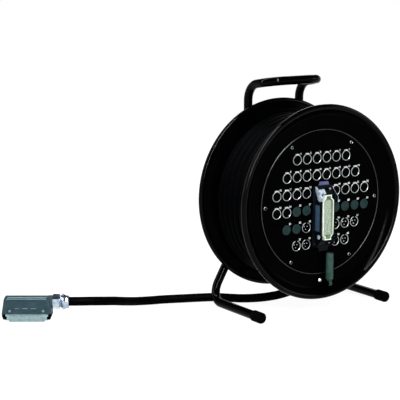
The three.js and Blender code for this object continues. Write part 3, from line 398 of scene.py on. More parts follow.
def finish(name, dark, light, patch, rough, grain, grain_height, metallic=0, specular=0.5):
    """A finish whose colour and roughness drift in patches, with a fine grain in relief."""
    material = bpy.data.materials.new(name)
    tree = empty_tree(material)
    place = node(tree, "ShaderNodeTexCoord").outputs["Object"]
    drift = node(tree, "ShaderNodeTexNoise", {
        "Vector": place, "Scale": per_metre(patch), "Detail": DRIFT_DETAIL,
    }).outputs["Fac"]
    colour = node(tree, "ShaderNodeValToRGB", {"Fac": drift})
    for stop, position, code in zip(colour.color_ramp.elements, COLOUR_SPAN, (dark, light)):
        stop.position = position
        stop.color = linear(code)
    wear = node(tree, "ShaderNodeMapRange", {
        "Value": drift, "From Min": WEAR_SPAN[0], "From Max": WEAR_SPAN[1],
        "To Min": rough[0], "To Max": rough[1],
    })
    fine = node(tree, "ShaderNodeTexNoise", {
        "Vector": place, "Scale": per_metre(grain), "Detail": GRAIN_DETAIL,
    })
    relief = node(tree, "ShaderNodeBump", {"Height": fine.outputs["Fac"], "Distance": grain_height * MM})
    shader = node(tree, "ShaderNodeBsdfPrincipled", {
        "Base Color": colour.outputs["Color"], "Roughness": wear.outputs["Result"],
        "Normal": relief.outputs["Normal"], "Metallic": metallic, "Specular IOR Level": specular,
    })
    node(tree, "ShaderNodeOutputMaterial", {"Surface": shader.outputs["BSDF"]})
    return material


# Each finish has its name, dark and light colour, patch size, least and most roughness, grain size and
# grain height, all sizes in mm.
# Stoved enamel on steel: deep black with a slight orange peel and a film of dust
enamel = finish("stoved_black_enamel", "010101", "020202", 60, (0.12, 0.2), 1.8, 0.008, specular=0.006)
# The same enamel where hands and straps polish it: the stand's tube
polished = finish("rubbed_black_enamel", "010101", "020202", 60, (0.05, 0.1), 1.8, 0.004, specular=0.03)
# The rolled rims, burnished by straps and cases, so that they draw a thin line of light
burnished = finish("burnished_black_enamel", "010101", "020202", 60, (0.03, 0.06), 1.8, 0.003, specular=0.05)
# Satin anodised aluminium sheet, black: a dry, even sheen
anodised = finish("black_anodised_sheet", "010101", "020202", 25, (0.4, 0.5), 0.7, 0.01, specular=0.004)
# Its turned edge, where the dark layer is thin and the metal shows through
bare_edge = finish("rubbed_anodised_edge", "303436", "404446", 14, (0.3, 0.42), 0.5, 0.008, metallic=1)
# Polyurethane cable jacket: satin black with rub marks
jacket = finish("polyurethane_jacket", "010101", "020305", 9, (0.36, 0.5), 0.9, 0.04, specular=0.006)
# Natural rubber, moulded: matt with a dusty bloom
rubber = finish("moulded_rubber", "010101", "030303", 12, (0.6, 0.8), 0.6, 0.04, specular=0.01)
# Black ABS with a spark-eroded grain
abs_black = finish("moulded_black_abs", "010101", "030303", 15, (0.4, 0.55), 0.5, 0.02, specular=0.008)
# Teal-grey ABS of the blanking discs
abs_teal = finish("moulded_teal_abs", "192b2b", "213535", 15, (0.45, 0.6), 0.5, 0.02, specular=0.05)
# Satin nickel on brass: the connectors' rings, pale and softly grey
satin_nickel = finish("satin_nickel", "c3ccd0", "dde4e6", 6, (0.28, 0.4), 0.4, 0.005, metallic=1)
# Bright nickel on brass: the gland, a cool mirror that handling has dulled in places
bright_nickel = finish("bright_nickel", "93a4b8", "c4d2de", 10, (0.12, 0.24), 0.6, 0.01, metallic=1)
# Zinc plate: pale with a cloudy spangle
zinc = finish("bright_zinc_plate", "c6cacc", "eceeec", 3, (0.28, 0.42), 0.5, 0.01, metallic=1)
# Stainless sheet of the upper locking lever: pale blue-grey with a soft sheen
lever_steel = finish("pressed_stainless_sheet", "b9cadb", "dcecfa", 8, (0.22, 0.34), 0.5, 0.006, metallic=0.4)
# The lower lever's sheet: the upper lever's stainless darkened to near black, a painted shade, with a cold
# glint
shaded_steel = finish("pressed_sheet_painted_shade", "0c0f14", "1a1f28", 8, (0.3, 0.45), 0.5, 0.006, metallic=1)
# Powder coat on die-cast aluminium: grey-blue with a fine dimpled skin
powder = finish("grey_blue_powder_coat", "24393f", "2e4650", 18, (0.42, 0.55), 0.9, 0.06, specular=0.15)
# The hood's top in a darker copy of the coat, a painted shade that keeps it darker than the front; its ribs,
# dashes and pegs in a paler copy, a painted highlight along them
powder_top_painted_shade = finish("powder_coat_painted_top_shade", "1a2c2f", "22373a", 12, (0.45, 0.6), 0.9, 0.06, specular=0.1)
powder_painted_highlight = finish("powder_coat_painted_highlight", "5a7b84", "6c8f99", 9, (0.35, 0.5), 0.9, 0.04, specular=0.25)
# The panel housing's coat: slate, almost black, with paler slate-blue strips along its sides
powder_dark = finish("slate_powder_coat", "020406", "060a10", 18, (0.4, 0.52), 0.9, 0.04, specular=0.05)
powder_strip = finish("slate_blue_powder_coat", "30475c", "3d566e", 10, (0.4, 0.5), 0.9, 0.04, specular=0.2)
# Glass-filled polycarbonate of the contact inserts: cream or pale grey with a silky moulded skin; the cream's
# darker green copy on the floor and walls of the insert's well is painted shade
cream = finish("cream_polycarbonate", "d2e2cf", "e9f4ea", 8, (0.35, 0.48), 0.6, 0.02)
cream_painted_shade = finish("cream_polycarbonate_painted_shade", "74886b", "8ea183", 5, (0.45, 0.6), 0.6, 0.02)
pale = finish("pale_grey_polycarbonate", "7f999e", "95aeb2", 8, (0.4, 0.55), 0.6, 0.02)
# Glass-filled nylon, dull and faintly mottled: the crank's grip and knuckle, and the lever's tab
grip_nylon = finish("grey_green_nylon", "223c36", "3a544e", 12, (0.42, 0.56), 0.7, 0.03, specular=0.1)
knuckle_nylon = finish("dark_green_nylon", "1a302b", "2a423c", 12, (0.45, 0.58), 0.7, 0.03, specular=0.1)
tab_nylon = finish("violet_blue_nylon", "38426a", "444f78", 10, (0.4, 0.52), 0.6, 0.02, specular=0.4)
# Sintered bronze of the bushes: dull gold, dark in its pores
bronze = finish("sintered_bronze", "7d6234", "9a7b45", 5, (0.4, 0.55), 0.5, 0.02, metallic=1)
# Screen-printed ink: pale grey and matt
ink = finish("pale_screen_ink", "c4caca", "dfe4e4", 3, (0.55, 0.65), 0.5, 0.005)

# CAD nodes that stay: hidden in the drum, with their finish
for kept, kept_finish in (
    ("drum_core", enamel), ("bush_front", bronze), ("bush_rear", bronze), ("axle_nut", zinc),
):
    kept_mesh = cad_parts[kept].data
    kept_mesh.materials.clear()
    kept_mesh.materials.append(kept_finish)


# The winding's last turn, from which the free cord leaves
front_sheet = PANEL_FACE + PANEL_THICKNESS + CLEARANCE + FLANGE_SHEET
rear_sheet = high("cable_core").y + CLEARANCE
on_axis = Matrix.Translation((0, 0, AXIS_HEIGHT))
winding_front = front_sheet + CLEARANCE + CORD_DIAMETER / 2
winding_rear = rear_sheet - CLEARANCE - CORD_DIAMETER / 2
winding_pitch = CORD_DIAMETER + WINDING_GAP
raised_radius = WINDING_RADIUS + CORD_DIAMETER + WINDING_GAP


def eased(share):
    return share * share * (3 - 2 * share)


def winding_place(sweep_left):
    """The cord's middle on the drum, where an angle in degrees is left before it leaves."""
    helix = max(0, sweep_left - TRAVERSE_SWEEP - CLIMB_SWEEP / 2)
    climbed = 1 - min(1, max(0, (sweep_left - TRAVERSE_SWEEP) / CLIMB_SWEEP))
    traversed = 1 - min(1, sweep_left / TRAVERSE_SWEEP)
    radius = WINDING_RADIUS + (raised_radius - WINDING_RADIUS) * eased(climbed)
    helix_place = winding_front + winding_pitch * helix / 360
    along = helix_place + (EXIT_SETBACK + PANEL_FACE - winding_front) * eased(traversed)
    across, up = on_circle(radius, EXIT_ANGLE + sweep_left)
    return Vector((across, along, AXIS_HEIGHT + up))


def cord_heading(place):
    """The cord's direction at a place on the drum, square to the drum's radius."""
    out = place - Vector((0, place.y, AXIS_HEIGHT))
    return Vector((out.z, 0, -out.x)).normalized()


def along_cord(place, ahead):
    return place + cord_heading(place) * ahead


# The cord's free end, along the route of the model: places in the stand's own frame
CORD_ROUTE = (
    (-10, 75.8, 42.2),
    (-34, 79, 35.8),
    (-58, 87, 29.5),
    (-82, 103, 23.5),
    (-105, 127, 18),
    (-126, 155, 13.8),
    (-147, 184, 11.8),
    (-172, 208.5, 11.6),
    (-204, 224, 11.6),
    (-248, 241, 11.6),
    (-292, 258, 11.6),
    (-330, 267, 12),
    (-366, 264.5, 15.8),
    (-400, 251, 23.2),
    (-430, 236.5, 31),
    (-457, 226.5, 37.5),
    (-485, 222.5, 42),
    (-514, 226.5, 45),
)
HOOD_PLACE = (-647.7, 303.8, 0)
HOOD_TURN = -32.2
HOOD_LENGTH = 120
GLAND_HEIGHT = 46
GLAND_SEAT = 61.5
HEX_LENGTH = 17.2
GLAND_GAP = 1.9
NUT_LENGTH = 19.5

hood_frame = Matrix.Translation(Vector(HOOD_PLACE) + Vector((0, PANEL_FACE, 0)))
hood_frame = hood_frame @ Matrix.Rotation(math.radians(HOOD_TURN), 4, "Z")
hex_front = GLAND_SEAT + CLEARANCE
hex_back = hex_front + HEX_LENGTH
nut_front = hex_back + GLAND_GAP
nut_back = nut_front + NUT_LENGTH


def curve_through(points, steps_between):
    """A centripetal Catmull-Rom curve through a list of points."""
    ends = [points[0] * 2 - points[1], *points, points[-1] * 2 - points[-2]]
    path = []
    for a, b, c, d in zip(ends, ends[1:], ends[2:], ends[3:]):
        t1 = math.sqrt((b - a).length)
        t2 = t1 + math.sqrt((c - b).length)
        t3 = t2 + math.sqrt((d - c).length)
        for step in range(steps_between):
            t = t1 + (t2 - t1) * step / steps_between
            ab = a * (t1 - t) / t1 + b * t / t1
            bc = b * (t2 - t) / (t2 - t1) + c * (t - t1) / (t2 - t1)
            cd = c * (t3 - t) / (t3 - t2) + d * (t - t2) / (t3 - t2)
            abc = ab * (t2 - t) / t2 + bc * t / t2
            bcd = bc * (t3 - t) / (t3 - t1) + cd * (t - t1) / (t3 - t1)
            path.append(abc * (t2 - t) / (t2 - t1) + bcd * (t - t1) / (t2 - t1))
    path.append(points[-1])
    return path


def free_path():
    """The free cord's middle, from the drum's last turn into the gland's nut."""
    leave = winding_place(0)
    start = along_cord(leave, CORD_DIAMETER + CLEARANCE)
    inside_nut = hood_frame @ Vector((hex_back + NUT_LENGTH / 3, 0, GLAND_HEIGHT))
    last_run = hood_frame @ Vector((nut_back + CLEARANCE + CORD_DIAMETER, 0, GLAND_HEIGHT))
    between = [Vector((x, y + PANEL_FACE, z)) for x, y, z in CORD_ROUTE]
    first_run = start + cord_heading(leave) * CORD_DIAMETER
    curve = curve_through([first_run, *between, last_run], ROUTE_STEPS)
    return [start, *curve, inside_nut]


free_cord_path = free_path()
free_cord = add_piece(
    "free_cord", tube(free_cord_path, CORD_DIAMETER / 2, CORD_SIDES), jacket, "stand",
    ["cord_free"],
)


# Hood and its insert, drawn along the hood's own length
HOOD_ROUNDING = 0.7
HOOD_TOP = 56
HOOD_TOP_SKIN = 1
HOOD_END_BAND = 9
HOOD_SIDE = 21.5
HOOD_PANEL_PROUD = 0.9
HOOD_PEG_START = 22.7
HOOD_RIB_LENGTH = 94
HOOD_RIB_HEIGHT = 1.1
HOOD_RIB_SINK = 0.2
HOOD_RIB_ROUNDING = 0.3
DASH_HEIGHT = 1.6
DASH_DEPTH = 1
DASH_LEVEL = 34
HOOD_BLOCK_ROUNDING = 0.35
GUIDE_ROUNDING = 0.5
GUIDE_SIDE = 18.4
GUIDE_OUTLINE = ((59.4, 19.7), (56, 19.5), (47, 10.5), (49, 5.5), (56, 5.5), (59.2, 13))

# The ribs as (place across the top, width), and the dashes as (place along the side, length)
HOOD_RIBS = ((-5, 7), (-19.3, 5.6))
DASHES = ((-22.5, 9), (-3.5, 13), (17, 12))

to_hood = hood_frame.inverted()
rib_level = HOOD_TOP + HOOD_RIB_HEIGHT / 2 - HOOD_RIB_SINK
dash_side = -HOOD_SIDE - HOOD_PANEL_PROUD


def in_hood(bm):
    return moved(bm, hood_frame)


def on_hood_top(spot):
    place = to_hood @ spot
    return place.z > HOOD_TOP - HOOD_TOP_SKIN and place.x < HOOD_LENGTH / 2 - HOOD_END_BAND


def on_hood_peg(spot):
    return abs((to_hood @ spot).y) > HOOD_PEG_START


def hood_ridges():
    """The raised ribs on the hood's top and the dashes on its side."""
    ridges = []
    for across, width in HOOD_RIBS:
        ridges.append(cuboid((HOOD_RIB_LENGTH, width, HOOD_RIB_HEIGHT), (0, across, rib_level)))
    for along, length in DASHES:
        ridges.append(cuboid((length, DASH_DEPTH, DASH_HEIGHT), (along, dash_side, DASH_LEVEL)))
    return joined(*[ease(ridge, HOOD_RIB_ROUNDING) for ridge in ridges])


cover = refined("hood_shell", HOOD_ROUNDING, above=CASTING_ANGLE)
# Painted shade: the hood's top takes the darker copy of the coat.
paint(cover, 1, on_hood_top)
# Painted highlight: the pegs take the paler copy of the coat.
paint(cover, 2, on_hood_peg)
hood_cover = add_piece(
    "hood_cover", cover, [powder, powder_top_painted_shade, powder_painted_highlight], "stand", ["hood_shell"],
    smooth=CASTING_ANGLE, flat=True,
)
# Painted highlight: the ribs and dashes in the paler coat stand in for the lines of light along them.
hood_ribs = add_piece("hood_ribs", in_hood(hood_ridges()), powder_painted_highlight, "stand")
hood_insert = add_piece(
    "hood_contact_block", refined("hood_insert", HOOD_BLOCK_ROUNDING, 1), pale, "stand",
    ["hood_insert"], flat=True,
)
guides = []
for side in (-1, 1):
    outline = [(side * along, level) for along, level in GUIDE_OUTLINE]
    guides.append(ease(plate(outline, "XZ", -GUIDE_SIDE, 2 * GUIDE_SIDE), GUIDE_ROUNDING))
hood_guides = add_piece("hood_guides", in_hood(joined(*guides)), abs_black, "stand")


# Gland: a chamfered hexagon between a neck and a thread, and its cap nut
GLAND_STEPS = 64
GLAND_BORE = 11.4
HEX_ACROSS = 32
HEX_FACE_RADIUS = 16.4
HEX_CORNER_RADIUS = 18.6
HEX_CHAMFER = 1.4
HEX_OVERLAP = 1
HEX_ROUNDING = 0.35
NECK_START = 51.3
NECK_RADIUS = 12.4
THREAD_CREST = 13.4
THREAD_ROOT = 12.8
THREAD_PITCH = 1.5
THREAD_TURNS = 8
THREAD_LENGTH = 11.8
CREST_START = -0.8
ROOT_START = -0.05
NUT_MOUTH = 13.9
NUT_EDGE = 15.5
NUT_FLARE = 4.5
NUT_FLARE_SHARE = 0.34
NUT_CREST = 19.4
NUT_CREST_SHARE = 0.36
NUT_CREST_ROUNDING = 0.6
NUT_TAPER_START = 19.6
NUT_TAPER = 2.6
NUT_TAPER_SHARE = 0.38
NUT_TAIL = 16.3
NUT_TAIL_CHAMFER = 2
NUT_LIP = 11.35
NUT_LIP_START = 12.3
NUT_STEPS = 8

gland_axis = Matrix.Translation((0, 0, GLAND_HEIGHT)) @ Matrix.Rotation(-math.pi / 2, 4, "Z")


def along_hood(bm):
    """Lays a piece that stands on the Y axis along the gland's axis."""
    return in_hood(moved(bm, gland_axis))


def gland_hexagon():
    corner = HEX_ACROSS / math.sqrt(3)
    block = bmesh.new()
    bmesh.ops.create_cone(
        block, cap_ends=True, segments=6, radius1=corner, radius2=corner, depth=HEX_LENGTH
    )
    moved(block, Matrix.Translation((0, HEX_LENGTH / 2, 0)) @ Matrix.Rotation(math.pi / 2, 4, "X"))
    chamfers = lathe([
        (0, -HEX_OVERLAP), (HEX_FACE_RADIUS, -HEX_OVERLAP), (HEX_FACE_RADIUS, 0),
        (HEX_CORNER_RADIUS, HEX_CHAMFER), (HEX_CORNER_RADIUS, HEX_LENGTH - HEX_CHAMFER),
        (HEX_FACE_RADIUS, HEX_LENGTH), (0, HEX_LENGTH),
    ])
    block = ease(cut(block, chamfers, "INTERSECT"), HEX_ROUNDING, above=25)
    return moved(block, Matrix.Translation((0, hex_front, 0)))


def gland_neck():
    end = hex_front + HEX_OVERLAP
    profile = [(GLAND_BORE, NECK_START), (NECK_RADIUS, NECK_START), (NECK_RADIUS, end), (GLAND_BORE, end)]
    return lathe(profile, GLAND_STEPS, closed=True)


def gland_thread():
    profile = [(GLAND_BORE, hex_back - HEX_OVERLAP)]
    for turn in range(THREAD_TURNS):
        start = hex_back + THREAD_PITCH * turn
        profile += [(THREAD_CREST, start + CREST_START), (THREAD_ROOT, start + ROOT_START)]
    profile.append((GLAND_BORE, hex_back + THREAD_LENGTH))
    return lathe(profile, GLAND_STEPS, closed=True)


def cap_nut():
    """A nut that flares to a rounded crest and tapers down to the cord."""
    profile = [(NUT_MOUTH, nut_front), (NUT_EDGE, nut_front)]
    for step in range(1, NUT_STEPS):
        share = step / NUT_STEPS
        place = nut_front + NUT_LENGTH * NUT_FLARE_SHARE * share
        profile.append((NUT_EDGE + NUT_FLARE * eased(share), place))
    profile += arc((NUT_CREST, nut_front + NUT_LENGTH * NUT_CREST_SHARE), NUT_CREST_ROUNDING, 120, -30, 5)
    for step in range(1, NUT_STEPS + 1):
        share = step / NUT_STEPS
        place = nut_front + NUT_LENGTH * (NUT_TAPER_SHARE + NUT_FLARE_SHARE * share)
        profile.append((NUT_TAPER_START - NUT_TAPER * eased(share), place))
    lip = hex_back + NUT_LIP_START
    profile += [(NUT_TAIL, nut_back - NUT_TAIL_CHAMFER), (NUT_EDGE, nut_back), (NUT_LIP, nut_back)]
    profile += [(NUT_LIP, lip), (NUT_MOUTH, lip)]
    return lathe(profile, GLAND_STEPS, closed=True)


gland = add_piece(
    "gland_hexagon", along_hood(joined(gland_hexagon(), gland_neck(), gland_thread())), bright_nickel,
    "stand", ["gland_body"],
)
gland_nut = add_piece("gland_cap_nut", along_hood(cap_nut()), bright_nickel, "stand", ["gland_nut"])


# Stand: one bent tube from foot to foot, over the top as the carrying grip
TUBE_RADIUS = 11
TUBE_SIDES = 32
CAP_RADIUS = 13.5
CAP_LENGTH = 34
CAP_ROUNDING = 3
CAP_STEPS = 64
CAP_RINGS = (10, 16, 22)
# The shape of a groove and of the cap's worn end, as (depth, place along)
CAP_GROOVE = ((0, 0), (0.7, 0.6), (0.7, 1.8), (0, 2.4))
CAP_END = ((0, -1), (0.6, 0))
CAP_SOLE_CUT = 0.8
CAP_FRONT = -26
CAP_FLOOR = 3.5
# The bent tube's plane behind the panel, its half widths, heights and the radius of each bend
STAND_PLANE = 202
UPRIGHT_SIDE = 79
FOOT_SIDE = 191
SPLAY_HEIGHT = 210
SHOULDER_HEIGHT = 545
GRIP_HEIGHT = 562
GRIP_REACH = 102
HANDLE_BEND = 45
SPLAY_BEND = 80
FOOT_BEND = 50
FOOT_DIP = 0.4
BEND_STEP = 5

cap_centre = CAP_RADIUS - CAP_SOLE_CUT
foot_slope = math.atan2(cap_centre - TUBE_RADIUS, STAND_PLANE - CAP_FRONT)
tube_end = CAP_FRONT + CAP_FLOOR + CLEARANCE


def bent_path(corners):
    """Points along straights whose corners are arcs of their own radius."""
    points = [corners[0][0]]
    for (before, _), (corner, radius), (after, _) in zip(corners, corners[1:], corners[2:]):
        back = (before - corner).normalized()
        on = (after - corner).normalized()
        half = back.angle(on) / 2
        inward = (back + on).normalized()
        centre = corner + inward * radius / math.sin(half)
        sideways = (back - on).normalized()
        sweep = math.pi / 2 - half
        steps = math.ceil(math.degrees(2 * sweep) / BEND_STEP)
        for step in range(steps + 1):
            angle = sweep * (1 - 2 * step / steps)
            points.append(centre + (sideways * math.sin(angle) - inward * math.cos(angle)) * radius)
    points.append(corners[-1][0])
    return points


def frame_corners(side):
    end_height = cap_centre - (tube_end - CAP_FRONT) * math.tan(foot_slope)

    def at(x, y, z):
        return Vector((side * x, y + PANEL_FACE, z))

    return [
        (at(FOOT_SIDE, tube_end, end_height), 0),
        (at(FOOT_SIDE, STAND_PLANE, TUBE_RADIUS - FOOT_DIP), FOOT_BEND),
        (at(UPRIGHT_SIDE, STAND_PLANE, SPLAY_HEIGHT), SPLAY_BEND),
        (at(UPRIGHT_SIDE, STAND_PLANE, SHOULDER_HEIGHT), HANDLE_BEND),
        (at(UPRIGHT_SIDE, STAND_PLANE - GRIP_REACH, GRIP_HEIGHT), HANDLE_BEND),
    ]


stand_path = bent_path(frame_corners(-1) + frame_corners(1)[::-1])
add_piece(
    "stand_tube", tube(stand_path, TUBE_RADIUS, TUBE_SIDES), polished, "stand",
    ["frame_tube"],
)


def foot_cap(side, name):
    """A rubber cap with three grip rings, worn flat where it stands."""
    corner = CAP_RADIUS - CAP_ROUNDING
    inside = TUBE_RADIUS + CLEARANCE
    profile = [(0, 0), (corner, 0)] + arc((corner, CAP_ROUNDING), CAP_ROUNDING, -80, 0, 6)
    for ring in CAP_RINGS:
        profile += groove(CAP_RADIUS, ring, CAP_GROOVE)
    profile += groove(CAP_RADIUS, CAP_LENGTH, CAP_END)
    profile += [(inside, CAP_LENGTH), (inside, CAP_FLOOR), (0, CAP_FLOOR)]
    cap = lathe(profile, CAP_STEPS)
    place = Matrix.Translation((side * FOOT_SIDE, CAP_FRONT + PANEL_FACE, cap_centre))
    moved(cap, place @ Matrix.Rotation(-foot_slope, 4, "X"))
    sole = sliced(cap, (0, 0, 0), (0, 0, -1), clear=True)
    bmesh.ops.contextual_create(cap, geom=sole)
    add_piece(f"foot_cap_{name}_cover", cap, rubber, "stand", [f"foot_cap_{name}"])


foot_cap(-1, "left")
foot_cap(1, "right")


# Hub bracket with its weld beads, the axle's end and the brake's star knob
BRACKET_ROUNDING = 1.6
BRACKET_HALF_DEPTH = 12
WELD_RADIUS = 2.2
WELD_LENGTH = 34
WELD_SCALES = 12
WELD_SETBACK = 3.4
WELD_LEVELS = (-60, 0, 60)
AXLE_RADIUS = 12.5
AXLE_SHOULDER = 18
AXLE_CHAMFER = 1.4
AXLE_STEPS = 64
CENTRE_HOLE_RADIUS = 3
CENTRE_HOLE_DEPTH = 2.4
BRAKE_OFFSET = 52
KNOB_RADIUS = 20
KNOB_LOBES = 5
KNOB_LOBE_DEPTH_SHARE = 0.14
KNOB_STEPS_PER_LOBE = 20
KNOB_REACH = 14
KNOB_THICKNESS = 13
KNOB_ROUNDING = 2.6
# The knob's domed cap, as (radius, place from the knob's rear)
KNOB_CAP = ((0, -2), (9, -2), (9, -0.6), (7.6, 0), (0, 0))
PAD_RADIUS = 13
PAD_CHAMFER = 0.8
PAD_THICKNESS = 6
SCREW_RADIUS = 5
SCREW_REACH = 12
METAL_REACH = 14.2

add_piece(
    "bracket_pressing", refined("hub_bracket", BRACKET_ROUNDING, 3), enamel, "stand",
    ["hub_bracket"],
)


def weld_bead(side, level):
    """A short run of overlapping weld scales in the corner between bracket and tube."""
    scales = []
    across = side * high("hub_bracket").x
    back = STAND_PLANE + PANEL_FACE + WELD_SETBACK
    for step in range(WELD_SCALES):
        along = level - WELD_LENGTH / 2 + WELD_LENGTH * step / (WELD_SCALES - 1)
        scale = bmesh.new()
        bmesh.ops.create_icosphere(scale, subdivisions=2, radius=WELD_RADIUS)
        scales.append(moved(scale, Matrix.Translation((across, back, AXIS_HEIGHT + along))))
    return joined(*scales)


welds = [weld_bead(side, level) for side in (-1, 1) for level in WELD_LEVELS]
add_piece("weld_beads", joined(*welds), enamel, "stand")


def axle_profile():
    front, rear = low("axle").y, high("axle").y
    shoulder_front = high("bush_rear").y + CLEARANCE
    shoulder_rear = STAND_PLANE + PANEL_FACE - BRACKET_HALF_DEPTH - CLEARANCE
    return [
        (0, front), (AXLE_RADIUS, front), (AXLE_RADIUS, shoulder_front), (AXLE_SHOULDER, shoulder_front),
        (AXLE_SHOULDER, shoulder_rear), (AXLE_RADIUS, shoulder_rear), (AXLE_RADIUS, rear - AXLE_CHAMFER),
        (AXLE_RADIUS - AXLE_CHAMFER, rear), (CENTRE_HOLE_RADIUS, rear), (0, rear - CENTRE_HOLE_DEPTH),
    ]


axle = moved(lathe(axle_profile(), AXLE_STEPS), on_axis)
add_piece("axle_shaft", axle, zinc, "stand", ["axle"])


def brake_knob():
    """A five-lobed knob with a domed cap, and its screw with the pad that presses on the flange."""
    front, rear = low("brake_knob").y, high("brake_knob").y
    steps = KNOB_STEPS_PER_LOBE * KNOB_LOBES
    outline = []
    for step in range(steps):
        degrees = 360 * step / steps
        dip = KNOB_LOBE_DEPTH_SHARE * (1 - math.cos(math.radians(KNOB_LOBES * degrees))) / 2
        outline.append(on_circle(KNOB_RADIUS * (1 - dip), degrees))
    head = ease(plate(outline, "XZ", rear - KNOB_REACH, KNOB_THICKNESS), KNOB_ROUNDING, 4, 60)
    cap = lathe([(radius, rear + along) for radius, along in KNOB_CAP])
    pad = lathe([
        (0, front), (PAD_RADIUS - PAD_CHAMFER, front), (PAD_RADIUS, front + PAD_CHAMFER),
        (PAD_RADIUS, front + PAD_THICKNESS), (SCREW_RADIUS, front + PAD_THICKNESS),
        (SCREW_RADIUS, rear - SCREW_REACH), (0, rear - SCREW_REACH),
    ])
    knob = moved(joined(head, cap, pad), Matrix.Translation((0, 0, AXIS_HEIGHT + BRAKE_OFFSET)))
    return paint(knob, 1, lambda spot: spot.y < rear - METAL_REACH)


add_piece("brake_star_knob", brake_knob(), [abs_black, zinc], "brake", ["brake_knob"])


# Flanges: a flat sheet that rises at its edge into a rolled bead
REAR_OPENING = 31
BEAD_STEPS = 29
# The sheet's bend into the rim on its outer and inner face, as (radius past the dish's edge, rise)
OUTER_BEND = ((-5, 0), (-1, 0.5), (3, 2.4))
INNER_BEND = ((1, 3.2), (-2.5, 0.6), (-6, 0))
RIVETS = 8
RIVET_CIRCLE = 138
RIVET_RADIUS = 4.6
RIVET_SINK = 0.5
RIVET_DOME = 5.1
RIVET_DOME_DEPTH = 2.2
RIVET_STEPS = 20


def flange_profile(inner, face, outward):
    """Points from the sheet's inner edge out and round the bead; outward is -1 for the front flange."""
    bead = (FLANGE_RADIUS - BEAD_RADIUS, FLANGE_SHEET + RIM_RISE)
    points = [(inner, 0)] + [(DISH_RADIUS + past, rise) for past, rise in OUTER_BEND]
    points += arc(bead, BEAD_RADIUS, -125, 165, BEAD_STEPS)
    points += [(DISH_RADIUS + past, FLANGE_SHEET + rise) for past, rise in INNER_BEND]
    points.append((inner, FLANGE_SHEET))
    return [(radius, face + outward * out) for radius, out in points]


def flange_pressing(name, inner, face, outward):
    """A flange in enamel, with its rolled rim burnished."""
    pressing = lathe(flange_profile(inner, face, outward), DRUM_STEPS, closed=True)
    paint(pressing, 1, lambda spot: math.hypot(spot.x, spot.z) > FLANGE_RADIUS - 2 * BEAD_RADIUS)
    add_piece(
        f"{name}_pressing", moved(pressing, on_axis), [enamel, burnished], "drum", [name]
    )


flange_pressing("front_flange", FRONT_OPENING, front_sheet, -1)
flange_pressing("rear_flange", REAR_OPENING, rear_sheet, 1)


def rear_rivets():
    """Dome rivets that join the rear flange to the barrel's web."""
    face = rear_sheet + FLANGE_SHEET
    dome = arc((0, face - RIVET_DOME_DEPTH), RIVET_DOME, 26, 90, 6)
    rivet = lathe([(RIVET_RADIUS, face - RIVET_SINK), (RIVET_RADIUS, face)] + dome, RIVET_STEPS)
    places = []
    for step in range(RIVETS):
        across, up = on_circle(RIVET_CIRCLE, 360 * (step + 1 / 2) / RIVETS)
        places.append(Matrix.Translation((across, 0, AXIS_HEIGHT + up)))
    return copies(rivet, places)


add_piece("rear_rivets", rear_rivets(), enamel, "drum")


# Winding: the outer layer as one helix that climbs onto itself and leaves the drum
CORE_INSIDE = 156
CORE_OUTSIDE = 169
CORE_STEPS = 96
INNER_CORD_SIDES = 16
HOLLOW_SHARE = 0.9


def outer_path():
    turns = (winding_rear - winding_front) / winding_pitch
    coarse = 360 / COARSE_STEPS_PER_TURN
    whole_sweep = math.floor((turns * 360 + TRAVERSE_SWEEP + CLIMB_SWEEP / 2) / coarse) * coarse
    steps = round(whole_sweep * STEPS_PER_TURN / 360)
    places = [winding_place(whole_sweep * step / steps) for step in range(steps, -1, -1)]
    return [along_cord(places[0], -CORD_DIAMETER), *places, along_cord(places[-1], CORD_DIAMETER)]


outer_turns = tube(outer_path(), CORD_DIAMETER / 2, CORD_SIDES)
add_piece("outer_turns", outer_turns, jacket, "drum", ["cable_winding"])


def inner_turns():
    """The layer under the outer one, lying in its hollows, over a plain core."""
    radius = WINDING_RADIUS - CORD_DIAMETER * HOLLOW_SHARE
    turns = (winding_rear - winding_front) / winding_pitch - 1 / 2
    start = EXIT_ANGLE + TRAVERSE_SWEEP + CLIMB_SWEEP / 2
    path = []
    for step in range(round(turns * STEPS_PER_TURN) + 1):
        across, up = on_circle(radius, start + 360 * step / STEPS_PER_TURN)
        along = winding_front + winding_pitch * (1 / 2 + step / STEPS_PER_TURN)
        path.append((across, along, AXIS_HEIGHT + up))
    front, rear = low("cable_core").y, high("cable_core").y
    outline = [(CORE_INSIDE, front), (CORE_OUTSIDE, front), (CORE_OUTSIDE, rear), (CORE_INSIDE, rear)]
    core = moved(lathe(outline, CORE_STEPS, closed=True), on_axis)
    return joined(tube(path, CORD_DIAMETER / 2, INNER_CORD_SIDES), core)


add_piece("inner_turns", inner_turns(), jacket, "drum", ["cable_core"])


# Connector panel
MULTIPOLE_DROP = 34
WELL_WIDTH = 32.6
WELL_HEIGHT = 111.6
PANEL_CUT = 12
PANEL_EDGE_INSIDE = 0.3
PANEL_EDGE_OUTSIDE = 0.5
PANEL_EDGE_DEPTH = 0.2
PANEL_SINK = 0.1
HOLE_PLAY = 0.6
HOLE_SPAN = (-4, 8)
LATCH_PLAY = 0.6
LATCH_POCKET_PLACE = 2

MULTIPOLE_Z = AXIS_HEIGHT - MULTIPOLE_DROP


def column_x(column):
    return (column - (COLUMNS + 1) / 2) * COLUMN_PITCH


def row_z(row):
    return AXIS_HEIGHT + GRID_RISE + ((len(ROWS) + 1) / 2 - row) * ROW_PITCH


def at_panel(x, z):
    return Matrix.Translation((x, PANEL_FACE, z))


def all_at_panel(places):
    return [at_panel(x, z) for x, z in places]


